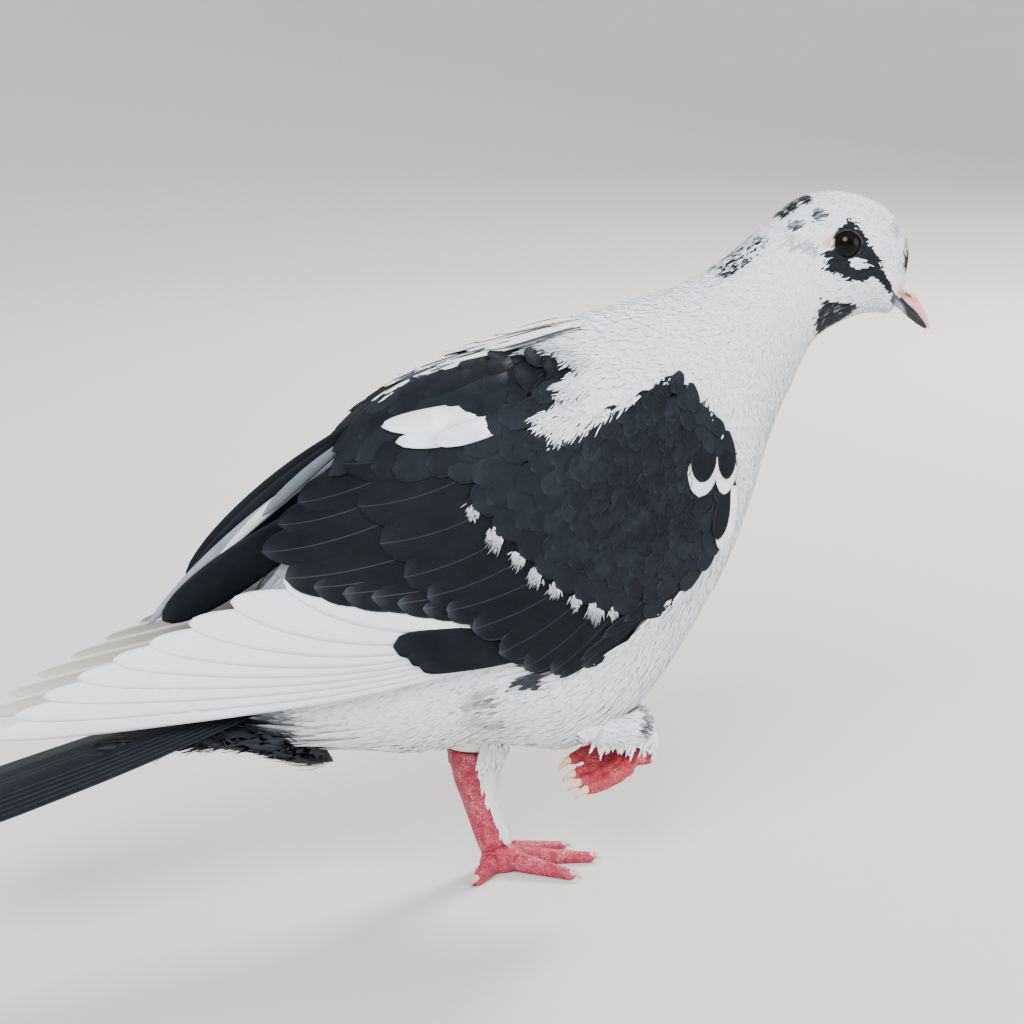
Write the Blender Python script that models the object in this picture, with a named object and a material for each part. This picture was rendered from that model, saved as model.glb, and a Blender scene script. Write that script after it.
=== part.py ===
"""A life-size pigeon in the middle of a step, standing on its left foot with the right one lifted.

+X is forwards, +Y the bird's left and +Z up. The origin is on the floor, at the middle of the
standing foot's sole. The sizes below are millimetres, and MM turns them into metres.
The bird is first laid out straight, about the plane y = 0; `pose` then turns its head to the
right and moves the body sideways over the foot it stands on.
"""

import math

import bmesh
import bpy
from mathutils import Vector

MM = 0.001

# ---- driving dimensions ----
BODY_SIDE = -9.0          # the body's middle plane, to the right of the standing foot
HEAD_TURN = math.radians(25.0)
BEND_START = 66.0         # the neck bends to the right between these two x
BEND_END = 100.0
GAP = 0.3                 # between neighbouring solids
ROUND = 2.2               # roundness of the body's sections, 2 being an ellipse

EYE_AT = (102.4, 9.1, 188.5)
EYE_R = 5.1

BILL_GAPE = 0.3           # between the two halves of the bill

TAIL_BASE = (-86.0, 65.0)
TAIL_TIP = (-173.0, 41.8)
TAIL_HALF_BASE = 17.5
TAIL_HALF_TIP = 21.0
TAIL_ARCH = 0.9
TAIL_THICK = 2.4

FEATHER_EDGE = 0.9        # thickness of a wing at its rim
WING_BULK = 2.4           # and how much more it has in its middle
PRIMARY_INSET = 2.1       # the flight feathers lie this much inside the shield

TOE_R = 2.3
CLAW_LONG = 6.0
CLAW_R = 1.25

# Sections of the feathered body from the bill back to the tail:
# top x, top z, bottom x, bottom z, half width.
HEAD = (
    (121.0, 178.7, 117.7, 167.4, 4.3),
    (121.6, 185.2, 115.6, 167.1, 8.0),
    (118.8, 192.9, 111.8, 167.6, 10.8),
    (113.0, 199.2, 107.0, 166.8, 12.4),
    (104.6, 202.2, 101.8, 164.4, 13.2),
    (95.8, 203.0, 97.4, 162.0, 13.6),
    (87.4, 200.1, 93.2, 157.8, 14.2),
)
NECK = (
    (79.6, 193.6, 90.0, 151.8, 15.4),
    (70.6, 185.4, 87.0, 145.2, 18.0),
    (59.0, 177.8, 82.8, 137.6, 22.0),
    (46.2, 174.1, 78.2, 127.2, 26.6),
)
TRUNK = (
    (32.5, 171.0, 72.4, 112.8, 31.4),
    (15.5, 167.2, 63.6, 92.4, 35.6),
    (-2.0, 161.6, 50.6, 70.8, 38.0),
    (-18.6, 153.2, 35.4, 51.0, 38.2),
    (-33.6, 142.2, 13.6, 40.5, 36.0),
    (-48.0, 128.4, -8.6, 46.6, 32.0),
    (-61.0, 113.6, -28.8, 45.0, 27.0),
    (-73.0, 98.0, -48.8, 48.4, 20.6),
    (-83.0, 84.0, -67.6, 54.2, 13.6),
    (-90.0, 73.0, -82.0, 62.5, 8.0),
)

# The surface the folded wings share, every 20 mm from x = 60 back:
# top z, z where it is widest, bottom z, half width.
HULL_FRONT = 60.0
HULL_STEP = 20.0
HULL_ROUND = 2.1
HULL = (
    (160.0, 122.0, 74.0, 35.6),
    (169.8, 122.0, 62.0, 41.8),
    (170.4, 120.0, 52.0, 44.4),
    (164.6, 115.0, 45.0, 44.6),
    (158.2, 106.0, 42.0, 41.8),
    (149.4, 94.0, 40.0, 36.8),
    (130.6, 83.0, 40.0, 30.6),
    (109.5, 74.0, 42.0, 22.6),
    (97.6, 66.0, 42.0, 15.8),
    (90.0, 62.0, 42.0, 11.4),
    (81.0, 60.0, 42.0, 8.4),
    (72.0, 58.0, 42.0, 6.6),
)

# Outlines of the wing's plates seen from the side, as x, z along each of their four edges.
SHIELD_TOP = ((-54.0, 135.6), (-42.0, 147.2), (-26.0, 154.8), (-5.0, 162.2), (15.0, 162.6), (37.6, 156.2))
SHIELD_FRONT = ((37.6, 156.2), (48.5, 146.5), (55.0, 129.0), (52.8, 113.0), (43.4, 95.2))
SHIELD_BOTTOM = ((-11.4, 77.4), (-1.9, 75.0), (13.4, 76.8), (29.0, 81.4), (43.4, 95.2))
SHIELD_REAR = ((-54.0, 135.6), (-44.0, 125.4), (-30.5, 119.6), (-21.4, 109.0), (-16.4, 93.0), (-11.4, 77.4))
REAR_TOP = ((-76.4, 111.4), (-68.6, 120.2), (-61.4, 128.4), (-54.6, 135.0))
REAR_FRONT = ((-54.6, 135.0), (-44.6, 124.8), (-31.2, 119.1), (-22.3, 108.6), (-17.3, 92.8), (-12.4, 77.6))
REAR_BOTTOM = ((-76.0, 109.6), (-62.0, 100.6), (-45.0, 97.6), (-35.0, 95.0), (-23.4, 84.8), (-12.4, 77.6))
REAR_TIP = ((-76.4, 111.4), (-76.8, 110.4), (-76.0, 109.6))
PRIMARY_TOP = ((-149.8, 66.2), (-136.2, 75.6), (-119.9, 83.9), (-103.7, 90.3), (-87.5, 98.6), (-60.0, 110.0),
               (-30.0, 101.0))
PRIMARY_FRONT = ((-30.0, 101.0), (-20.0, 90.0), (-12.0, 78.8))
PRIMARY_BOTTOM = ((-149.6, 63.6), (-121.4, 63.1), (-95.3, 63.5), (-72.0, 66.9), (-44.0, 72.0), (-12.0, 78.8))
PRIMARY_TIP = ((-149.8, 66.2), (-150.4, 64.8), (-149.6, 63.6))

# The left wing is folded less tightly: the tip of its inner feathers lies this much further back
# and down, and the tip of its primaries this much higher.
LEFT_BACK = 13.5
LEFT_DROP = 10.2
LEFT_RISE = 4.0
LEFT_LOW = 1.8            # the left shield's rear end lies this much lower than the right one's

# Undertail feathers hang behind the vent, as top x, top z, bottom x, bottom z, half width.
UNDERTAIL = (
    (-50.0, 54.0, -46.0, 45.6, 9.0),
    (-60.0, 55.5, -56.6, 43.6, 11.4),
    (-70.0, 58.0, -67.5, 48.2, 11.4),
    (-81.0, 59.4, -79.5, 53.4, 11.0),
    (-95.0, 59.4, -94.0, 56.0, 10.5),
    (-110.0, 55.8, -109.0, 54.2, 8.5),
)

# Legs: each section is x, y, z of its centre, half depth and half width.
LEFT_SHANK = (
    (-3.0, 12.0, 60.0, 16.5, 13.0),
    (-5.6, 11.0, 50.0, 14.0, 11.4),
    (-6.8, 10.2, 44.0, 11.8, 9.8),
    (-6.9, 10.0, 39.2, 9.6, 8.2),
)
LEFT_TARSUS = (
    (-6.9, 10.0, 38.6, 9.2, 7.8),
    (-7.1, 9.9, 35.6, 8.2, 7.0),
    (-7.2, 9.8, 30.5, 7.0, 5.8),
    (-5.9, 9.5, 22.5, 5.4, 4.5),
    (-4.0, 9.2, 14.5, 4.8, 4.0),
    (-1.8, 9.0, 8.2, 4.8, 4.2),
)
RIGHT_SHANK = ((2.0, -18.0, 62.0, 10.0, 10.0), (12.0, -17.0, 57.0, 9.4, 9.0), (19.6, -16.2, 54.0, 8.6, 8.2))
RIGHT_TARSUS = (
    (20.2, -16.1, 53.7, 8.4, 8.0),
    (27.6, -15.4, 51.2, 7.6, 7.2),
    (33.4, -14.8, 48.9, 6.6, 6.2),
    (36.8, -14.4, 46.6, 4.6, 4.6),
)
SOLE_R = 6.2
SOLE_HIGH = 6.8
PALM_R = 4.6
PALM_HIGH = 4.8

# Standing toes: x and y of the root, heading in degrees to the left of straight ahead, length.
STANDING_TOES = (
    ("hallux", -5.0, -4.6, -137.0, 8.0),
    ("inner", 5.3, -5.4, -43.0, 15.0),
    ("middle", 6.9, -0.2, -14.0, 20.4),
    ("outer", 6.6, 4.9, 4.0, 15.0),
)
# Lifted toes: start, end and how far the middle of the toe bows below the line between them.
LIFTED_TOES = (
    ("hallux", (27.0, -7.4, 43.0), (16.6, -8.0, 38.4), 0.4),
    ("inner", (30.6, -9.6, 39.2), (17.4, -10.0, 34.6), 0.8),
    ("middle", (30.6, -14.4, 38.6), (17.4, -14.6, 33.4), 1.0),
    ("outer", (30.4, -19.0, 38.4), (18.0, -18.9, 32.8), 0.8),
)
LIFTED_PALM = (35.6, -14.4, 38.0)

COLOURS = {
    "white_feather": (0.84, 0.86, 0.88),
    "dark_feather": (0.025, 0.028, 0.035),
    "tail_feather": (0.016, 0.019, 0.028),
    "foot_skin": (0.60, 0.15, 0.13),
    "cere_skin": (0.80, 0.62, 0.58),
    "bill_horn": (0.72, 0.40, 0.36),
    "lower_bill_horn": (0.03, 0.03, 0.034),
    "claw_horn": (0.66, 0.50, 0.34),
    "eye": (0.012, 0.008, 0.006),
}


def clear_scene():
    for thing in list(bpy.data.objects):
        bpy.data.objects.remove(thing, do_unlink=True)


def make_materials():
    made = {}
    for name, colour in COLOURS.items():
        material = bpy.data.materials.new(name)
        material.use_nodes = True
        shader = material.node_tree.nodes["Principled BSDF"]
        shader.inputs["Base Color"].default_value = (*colour, 1.0)
        shader.inputs["Roughness"].default_value = 0.15 if name == "eye" else 0.6
        made[name] = material
    return made


def pose(point):
    """A point of the straight bird, in millimetres, as it stands, in metres."""
    x, y, z = point
    radius = (BEND_END - BEND_START) / HEAD_TURN
    angle = min(max((x - BEND_START) / radius, 0.0), HEAD_TURN)
    past = x - BEND_START - radius * angle
    reach = radius + y
    px = BEND_START + reach * math.sin(angle) + past * math.cos(angle)
    py = BODY_SIDE - radius + reach * math.cos(angle) - past * math.sin(angle)
    return Vector((px, py, z)) * MM


def spline(rows, t):
    """A smooth curve through the rows, whose parameter counts rows."""
    last = len(rows) - 1
    i = min(int(max(t, 0.0)), last - 1)
    f = t - i
    a, b, c, d = (rows[min(max(i + k, 0), last)] for k in (-1, 0, 1, 2))
    if i == 0:
        a = tuple(2.0 * q - r for q, r in zip(b, c))
    if i == last - 1:
        d = tuple(2.0 * q - r for q, r in zip(c, b))
    return tuple(
        0.5 * (2.0 * q + (r - p) * f + (2.0 * p - 5.0 * q + 4.0 * r - s) * f * f
               + (3.0 * q - p - 3.0 * r + s) * f ** 3)
        for p, q, r, s in zip(a, b, c, d)
    )


def super_cos(angle, power):
    c = math.cos(angle)
    return math.copysign(abs(c) ** (2.0 / power), c)


def super_sin(angle, power):
    s = math.sin(angle)
    return math.copysign(abs(s) ** (2.0 / power), s)


def section(row, sides, power=ROUND):
    """A ring around the body between a top and a bottom point."""
    tx, tz, bx, bz, half = row
    mid = ((tx + bx) / 2.0, (tz + bz) / 2.0)
    up = ((tx - bx) / 2.0, (tz - bz) / 2.0)
    ring = []
    for k in range(sides):
        a = 2.0 * math.pi * k / sides
        c = super_cos(a, power)
        s = super_sin(a, power)
        ring.append(Vector((mid[0] + up[0] * c, half * s, mid[1] + up[1] * c)))
    return ring


def link(name, mesh, material, collection, smooth=True):
    thing = bpy.data.objects.new(name, mesh)
    mesh.materials.append(material)
    collection.objects.link(thing)
    for face in mesh.polygons:
        face.use_smooth = smooth
    return thing


def solid_from_rings(name, rings, material, collection, domes=(0.0, 0.0)):
    """A closed solid through rings of equal count, each end closed by a fan that bulges by its dome."""
    bm = bmesh.new()
    loops = [[bm.verts.new(p) for p in ring] for ring in rings]
    count = len(loops[0])
    for one, two in zip(loops, loops[1:]):
        for k in range(count):
            n = (k + 1) % count
            bm.faces.new((one[k], one[n], two[n], two[k]))
    for loop, beyond, dome in ((loops[0], rings[1], domes[0]), (loops[-1], rings[-2], domes[1])):
        centre = sum((v.co for v in loop), Vector()) / count
        away = centre - sum(beyond, Vector()) / count
        tip = bm.verts.new(centre + away.normalized() * dome * MM)
        for k in range(count):
            bm.faces.new((loop[k], loop[(k + 1) % count], tip))
    bmesh.ops.recalc_face_normals(bm, faces=bm.faces)
    mesh = bpy.data.meshes.new(name)
    bm.to_mesh(mesh)
    bm.free()
    return link(name, mesh, material, collection)


def body_loft(name, rows, first, last, steps, sides, material, collection, domes=(0.0, 0.0)):
    """Part of the body between two places along its table of sections."""
    rings = []
    for k in range(steps + 1):
        row = spline(rows, first + (last - first) * k / steps)
        rings.append([pose(p) for p in section(row, sides)])
    return solid_from_rings(name, rings, material, collection, domes)


def rows_loft(name, rows, sides, steps, material, collection, power=2.0, domes=(0.0, 0.0)):
    """A small solid through its own table of sections."""
    last = len(rows) - 1
    rings = []
    for k in range(steps + 1):
        rings.append([pose(p) for p in section(spline(rows, last * k / steps), sides, power)])
    return solid_from_rings(name, rings, material, collection, domes)


def along(curve, f):
    return spline(curve, f * (len(curve) - 1))


def coons(top, bottom, rear, front, u, v):
    """A point of the patch between four edges; u runs from rear to front and v from top to bottom."""
    t = along(top, u)
    b = along(bottom, u)
    r = along(rear, v)
    f = along(front, v)
    corners = (top[0], top[-1], bottom[0], bottom[-1])
    out = []
    for k in (0, 1):
        flat = (corners[0][k] * (1 - u) * (1 - v) + corners[1][k] * u * (1 - v)
                + corners[2][k] * (1 - u) * v + corners[3][k] * u * v)
        out.append(t[k] * (1 - v) + b[k] * v + r[k] * (1 - u) + f[k] * u - flat)
    return out


def hull_half_width(x, z):
    """How far the folded wing lies from the middle plane at a place seen from the side."""
    top, widest, bottom, half = spline(HULL, (HULL_FRONT - x) / HULL_STEP)
    reach = top - widest if z > widest else widest - bottom
    share = min(abs(z - widest) / reach, 0.995)
    return half * (1.0 - share ** HULL_ROUND) ** (1.0 / HULL_ROUND)


def hull_normal(x, z):
    step = 0.5
    dx = (hull_half_width(x + step, z) - hull_half_width(x - step, z)) / (2.0 * step)
    dz = (hull_half_width(x, z + step) - hull_half_width(x, z - step)) / (2.0 * step)
    return Vector((-dx, 1.0, -dz)).normalized()


def lower_left(x, z):
    """Where a place on the right wing's shield lies on the left one."""
    return x, z - LEFT_LOW * min(max(-x / 54.0, 0.0), 1.0)


def drop_left(x, z):
    """Where a place on the inner feathers of the right wing lies on the left one."""
    share = min(max((-50.0 - x) / 26.0, 0.0), 1.0)
    low = lower_left(x, z)[1]
    return x - LEFT_BACK * math.sin(share * math.pi / 2), low - LEFT_DROP * share ** 3


def rise_left(x, z):
    share = min(max((-70.0 - x) / 80.0, 0.0), 1.0)
    return x, z + LEFT_RISE * share


def stay(x, z):
    return x, z


def wing_plate(name, edges, shift, side, counts, inset, bulk, material, collection):
    """A closed plate on the shared wing surface, thin at its rim and fuller in its middle."""
    top, bottom, rear, front = edges
    nu, nv = counts
    outer = []
    inner = []
    for i in range(nu + 1):
        for j in range(nv + 1):
            u = i / nu
            v = j / nv
            x, z = coons(top, bottom, rear, front, u, v)
            normal = hull_normal(x, z)
            y = hull_half_width(x, z)
            x, z = shift(x, z)
            face = Vector((x, y, z)) - normal * inset
            fullness = (4 * u * (1 - u) * 4 * v * (1 - v)) ** 0.5
            back = face - normal * (FEATHER_EDGE + bulk * fullness)
            for point, bag in ((face, outer), (back, inner)):
                point.y *= side
                bag.append(pose(point))
    bm = bmesh.new()
    out = [bm.verts.new(p) for p in outer]
    ins = [bm.verts.new(p) for p in inner]

    def at(i, j):
        return i * (nv + 1) + j

    for i in range(nu):
        for j in range(nv):
            a, b, c, d = at(i, j), at(i + 1, j), at(i + 1, j + 1), at(i, j + 1)
            bm.faces.new((out[a], out[b], out[c], out[d]))
            bm.faces.new((ins[d], ins[c], ins[b], ins[a]))
    rim = [at(i, 0) for i in range(nu)] + [at(nu, j) for j in range(nv)]
    rim += [at(i, nv) for i in range(nu, 0, -1)] + [at(0, j) for j in range(nv, 0, -1)]
    for k, one in enumerate(rim):
        two = rim[(k + 1) % len(rim)]
        bm.faces.new((out[two], out[one], ins[one], ins[two]))
    bmesh.ops.recalc_face_normals(bm, faces=bm.faces)
    mesh = bpy.data.meshes.new(name)
    bm.to_mesh(mesh)
    bm.free()
    return link(name, mesh, material, collection)


def tail_plate(material, collection):
    """The folded tail, a flat fan with a rounded end, a little arched from side to side."""
    across = 10
    lengthwise = 9
    rings = []
    for i in range(lengthwise + 1):
        f = i / lengthwise
        half = TAIL_HALF_BASE + (TAIL_HALF_TIP - TAIL_HALF_BASE) * math.sin(min(f * 1.25, 1.0) * math.pi / 2)
        thick = TAIL_THICK * (1.0 - 0.55 * f)
        upper = []
        lower = []
        for j in range(across + 1):
            s = 2.0 * j / across - 1.0
            reach = f * (1.0 - 0.045 * s * s)
            x = TAIL_BASE[0] + (TAIL_TIP[0] - TAIL_BASE[0]) * reach
            z = TAIL_BASE[1] + (TAIL_TIP[1] - TAIL_BASE[1]) * reach - TAIL_ARCH * s * s
            rim = thick * (1.0 - 0.55 * s ** 4)
            upper.append(pose((x, half * s, z + rim / 2.0)))
            lower.append(pose((x, half * s, z - rim / 2.0)))
        rings.append(upper + lower[::-1])
    return solid_from_rings("tail", rings, material, collection)


def tube_ring(centre, forward, half_deep, half_wide, sides, turn=0.5):
    """A ring across a limb; `deep` is measured towards the limb's front or top."""
    forward = forward.normalized()
    side = Vector((0.0, 0.0, 1.0)).cross(forward)
    if side.length < 0.2 or abs(forward.z) > 0.75:
        side = Vector((0.0, 1.0, 0.0))
    side = (side - forward * side.dot(forward)).normalized()
    deep = forward.cross(side)
    ring = []
    for k in range(sides):
        a = 2.0 * math.pi * (k + turn) / sides
        ring.append(centre + deep * half_deep * math.cos(a) + side * half_wide * math.sin(a))
    return ring


def limb(name, rows, sides, steps, material, collection, domes=(0.0, 0.0)):
    last = len(rows) - 1
    rings = []
    for k in range(steps + 1):
        t = last * k / steps
        row = spline(rows, t)
        ahead = Vector(spline(rows, min(t + 0.05, last))[:3]) - Vector(spline(rows, max(t - 0.05, 0.0))[:3])
        ring = tube_ring(Vector(row[:3]), ahead, row[3], row[4], sides)
        rings.append([pose(p) for p in ring])
    return solid_from_rings(name, rings, material, collection, domes)


def toe_width(f):
    """Half width of a toe along its length, with the swelling of its two pads."""
    return TOE_R * (1.0 - 0.36 * f) * (1.0 + 0.07 * math.cos(f * 3.0 * 2.0 * math.pi))


def standing_toe(side, name, x, y, heading, length, materials, collection):
    """A toe with a flat sole on the floor, and its claw."""
    a = math.radians(heading)
    root = Vector((x, y, 0.0))
    forward = Vector((math.cos(a), math.sin(a), 0.0))
    sides = 8
    flat = math.cos(math.pi / sides)
    rings = []
    steps = 7
    for k in range(steps + 1):
        f = k / steps
        r = toe_width(f)
        at = root + forward * length * f
        high = r * flat * (1.25 - 0.25 * f)
        ring = tube_ring(Vector((at.x, at.y, high)), forward, high / flat, r, sides)
        rings.append([p * MM for p in ring])
    toe = "toe_%s_%s" % (side, name)
    solid_from_rings(toe, rings, materials["foot_skin"], collection, (0.0, 0.3))
    tip = root + forward * (length + 0.7)
    rings = []
    for k in range(5):
        f = k / 4.0
        r = CLAW_R * (1.0 - 0.82 * f)
        at = tip + forward * CLAW_LONG * f * 0.95
        high = 2.1 - 1.7 * f * f
        rings.append([p * MM for p in tube_ring(Vector((at.x, at.y, high)), forward, r, r * 0.8, 6, 0.0)])
    solid_from_rings("claw_%s_%s" % (side, name), rings, materials["claw_horn"], collection)


def lifted_toe(side, name, start, end, bow, materials, collection):
    start = Vector(start)
    end = Vector(end)
    path = end - start
    down = Vector((0.0, 0.0, -1.0))
    rings = []
    steps = 6
    for k in range(steps + 1):
        f = k / steps
        centre = start + path * f + down * bow * 4.0 * f * (1.0 - f)
        ahead = path + down * bow * 4.0 * (1.0 - 2.0 * f)
        r = toe_width(f) * 0.9
        rings.append([pose(p) for p in tube_ring(centre, ahead, r, r, 8)])
    toe = "toe_%s_%s" % (side, name)
    solid_from_rings(toe, rings, materials["foot_skin"], collection, (0.0, 0.3))
    ahead = (path + down * bow * -4.0).normalized()
    tip = end + ahead * 0.8
    rings = []
    for k in range(5):
        f = k / 4.0
        r = CLAW_R * (1.0 - 0.82 * f)
        centre = tip + ahead * CLAW_LONG * 0.85 * f + down * 2.2 * f * f
        turned = ahead + down * 0.75 * f
        rings.append([pose(p) for p in tube_ring(centre, turned, r, r * 0.8, 6)])
    solid_from_rings("claw_%s_%s" % (side, name), rings, materials["claw_horn"], collection)


def palm(name, centre, radius, height, flat_sole, materials, collection):
    """The pad the toes spring from; the standing one has a flat sole on the floor."""
    rings = []
    profile = ((0.0, 0.80), (0.22, 1.0), (0.6, 0.86), (1.0, 0.62))
    for f, share in profile:
        ring = []
        for k in range(16):
            a = 2.0 * math.pi * k / 16
            r = radius * share
            x = centre[0] + r * math.cos(a)
            y = centre[1] + r * math.sin(a)
            z = centre[2] + height * f
            ring.append(Vector((x, y, z)) * MM if flat_sole else pose((x, y, z)))
        rings.append(ring)
    return solid_from_rings(name, rings, materials["foot_skin"], collection)


def eye_ball(name, side, radius, turn, material, collection):
    """A ball about the eye's centre, its poles to the left and right."""
    centre = Vector((EYE_AT[0], EYE_AT[1] * side, EYE_AT[2]))
    bands = 9
    sides = 16
    rings = []
    for k in range(1, bands):
        a = math.pi * k / bands
        ring = []
        for j in range(sides):
            b = 2.0 * math.pi * j / sides + turn
            off = Vector((math.sin(a) * math.cos(b), side * math.cos(a), math.sin(a) * math.sin(b)))
            ring.append(pose(centre + off * radius))
        rings.append(ring)
    pole = radius * (1.0 - math.cos(math.pi / bands))
    return solid_from_rings(name, rings, material, collection, (pole, pole))


def cut(thing, cutter, cutters):
    """Take the cutter out of the thing, and keep it for show in its own collection."""
    if cutter.name not in cutters.objects:
        cutters.objects.link(cutter)
    cutter.hide_render = True
    cutter.display_type = "WIRE"
    modifier = thing.modifiers.new("cut_" + cutter.name, "BOOLEAN")
    modifier.operation = "DIFFERENCE"
    modifier.solver = "EXACT"
    modifier.object = cutter


def make_body(m, parts, cutters):
    white = m["white_feather"]
    last = len(HEAD + NECK) - 1
    whole = HEAD + NECK + TRUNK
    seam = 0.006
    neck_at = len(HEAD) - 1
    head = body_loft("head", whole, 0.0, neck_at - 2.0 * seam, 11, 28, white, parts)
    body_loft("neck", whole, neck_at + seam, last - seam, 6, 28, white, parts)
    body_loft("trunk", whole, last + seam, len(whole) - 1.0, 18, 32, white, parts, (0.0, 0.8))
    for side, label in ((1, "left"), (-1, "right")):
        eye_ball("eye_" + label, side, EYE_R, 0.0, m["eye"], parts)
        socket = eye_ball("socket_" + label, side, EYE_R + 0.45, 0.11, white, cutters)
        cut(head, socket, cutters)


def make_bill(m, parts):
    cere = ((121.7, 178.0, 119.9, 172.8, 3.2), (122.8, 175.6, 121.1, 171.5, 3.2), (123.9, 173.0, 122.3, 170.2, 2.6))
    upper = ((124.2, 172.5, 122.6, 169.8, 2.5), (125.7, 169.9, 124.2, 167.6, 2.1), (127.3, 167.3, 125.9, 165.6, 1.6),
             (128.3, 165.0, 127.0, 164.2, 1.0), (128.4, 163.3, 127.7, 162.9, 0.4))
    lower = ((119.5, 172.3, 118.3, 168.2, 2.8), (121.4, 170.5, 120.2, 167.2, 2.4), (123.7, 167.8, 122.8, 165.6, 1.9),
             (125.7, 165.2, 125.1, 163.9, 1.3), (126.9, 163.6, 126.6, 163.1, 0.5))
    rows_loft("cere", cere, 14, 4, m["cere_skin"], parts)
    rows_loft("bill_upper", upper, 12, 7, m["bill_horn"], parts)
    rows_loft("bill_lower", lower, 12, 6, m["lower_bill_horn"], parts)


def make_wings(m, parts):
    dark = m["dark_feather"]
    shield = (SHIELD_TOP, SHIELD_BOTTOM, SHIELD_REAR, SHIELD_FRONT)
    rear = (REAR_TOP, REAR_BOTTOM, REAR_TIP, REAR_FRONT)
    primaries = (PRIMARY_TOP, PRIMARY_BOTTOM, PRIMARY_TIP, PRIMARY_FRONT)
    for side, label, low, drop, rise in (
        (1, "left", lower_left, drop_left, rise_left),
        (-1, "right", stay, stay, stay),
    ):
        wing_plate("wing_shield_" + label, shield, low, side, (12, 9), 0.0, WING_BULK, dark, parts)
        wing_plate("wing_secondaries_" + label, rear, drop, side, (9, 6), 0.0, 0.2, dark, parts)
        wing_plate("wing_primaries_" + label, primaries, rise, side, (14, 4), PRIMARY_INSET, 0.1,
                   m["white_feather"], parts)


def body_cutter(material, cutters):
    """The trunk, grown by the gap, to cut the legs back from it."""
    grown = []
    for tx, tz, bx, bz, half in HEAD[-1:] + NECK + TRUNK:
        up = Vector((tx - bx, tz - bz)).normalized() * GAP * 1.4
        grown.append((tx + up.x, tz + up.y, bx - up.x, bz - up.y, half + GAP * 1.4))
    return body_loft("trunk_grown", tuple(grown), 2.0, len(grown) - 1.0, 22, 32, material, cutters, (0.0, 1.2))


def make_legs(m, parts, cutters):
    white = m["white_feather"]
    skin = m["foot_skin"]
    hollow = body_cutter(white, cutters)
    for name, rows, sides, steps, material in (
        ("shank_left", LEFT_SHANK, 16, 4, white),
        ("shank_right", RIGHT_SHANK, 16, 4, white),
        ("tarsus_left", LEFT_TARSUS, 12, 7, skin),
        ("tarsus_right", RIGHT_TARSUS, 12, 6, skin),
    ):
        cut(limb(name, rows, sides, steps, material, parts), hollow, cutters)
    palm("palm_left", (0.0, 0.0, 0.0), SOLE_R, SOLE_HIGH, True, m, parts)
    palm("palm_right", LIFTED_PALM, PALM_R, PALM_HIGH, False, m, parts)
    for name, x, y, heading, length in STANDING_TOES:
        standing_toe("left", name, x, y, heading, length, m, parts)
    for name, start, end, bow in LIFTED_TOES:
        lifted_toe("right", name, start, end, bow, m, parts)


def main():
    clear_scene()
    parts = bpy.data.collections.new("pigeon")
    cutters = bpy.data.collections.new("cutters")
    bpy.context.scene.collection.children.link(parts)
    bpy.context.scene.collection.children.link(cutters)
    m = make_materials()
    make_body(m, parts, cutters)
    make_bill(m, parts)
    make_wings(m, parts)
    make_legs(m, parts, cutters)
    tail_plate(m["tail_feather"], parts)
    undertail = rows_loft("undertail", UNDERTAIL, 16, 7, m["tail_feather"], parts, 2.0, (0.0, 0.5))
    cut(undertail, cutters.objects["trunk_grown"], cutters)


main()
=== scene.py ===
import math

import bmesh
import bpy
import numpy as np
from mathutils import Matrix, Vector
from mathutils.bvhtree import BVHTree


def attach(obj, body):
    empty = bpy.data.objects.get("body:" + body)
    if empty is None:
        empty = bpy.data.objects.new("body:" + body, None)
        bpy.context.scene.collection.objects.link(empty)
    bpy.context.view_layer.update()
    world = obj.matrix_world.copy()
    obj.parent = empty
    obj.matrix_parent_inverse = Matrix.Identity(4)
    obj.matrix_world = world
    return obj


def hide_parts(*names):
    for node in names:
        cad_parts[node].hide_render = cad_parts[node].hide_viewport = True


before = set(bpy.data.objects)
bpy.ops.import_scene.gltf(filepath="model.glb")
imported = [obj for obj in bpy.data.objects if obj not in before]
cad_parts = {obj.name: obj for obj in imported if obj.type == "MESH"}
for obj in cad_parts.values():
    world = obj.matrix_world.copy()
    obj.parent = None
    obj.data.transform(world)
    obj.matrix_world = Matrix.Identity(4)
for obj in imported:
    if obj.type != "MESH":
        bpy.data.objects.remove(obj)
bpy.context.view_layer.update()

# A pied pigeon in mid-step. Every shape is worked out in millimetres in the straight bird's own frame
# (x forwards, y to its left, z up), and `pose` turns the head and moves the body over its left foot.

MM = 0.001
RNG = np.random.default_rng(11)

# ---- the bird's stance, as in the solids ----
BODY_SIDE = -9.0
HEAD_TURN = math.radians(25.0)
BEND_START = 66.0
BEND_END = 100.0
BEND_RADIUS = (BEND_END - BEND_START) / HEAD_TURN

# ---- the axis inside the body, from the bill to the tail: x, y, z and lean in degrees ----
BODY_AXIS = (
    (119.4, 0.0, 173.0, 16.0), (115.3, 0.0, 180.2, 15.5), (103.2, 0.0, 183.3, 4.2),
    (90.3, 0.0, 179.0, -7.8), (78.8, 0.0, 165.3, -22.2), (62.2, 0.0, 150.7, -34.3),
    (39.6, 0.0, 129.8, -32.7), (8.4, 0.0, 102.1, -27.9), (-28.3, 0.0, 87.5, -25.7),
    (-60.9, 0.0, 73.2, -26.0), (-86.0, 0.0, 67.8, -37.3),
)
LEFT_SHANK_AXIS = ((-3.5, 12.0, 58.0, 90.0), (-6.0, 10.8, 48.0, 90.0), (-6.9, 10.0, 40.0, 90.0))
LEFT_TARSUS_AXIS = (
    (-6.9, 10.0, 39.5, 90.0), (-7.2, 9.8, 30.5, 90.0), (-5.9, 9.5, 22.5, 90.0), (-2.4, 9.1, 10.0, 90.0),
)
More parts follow.
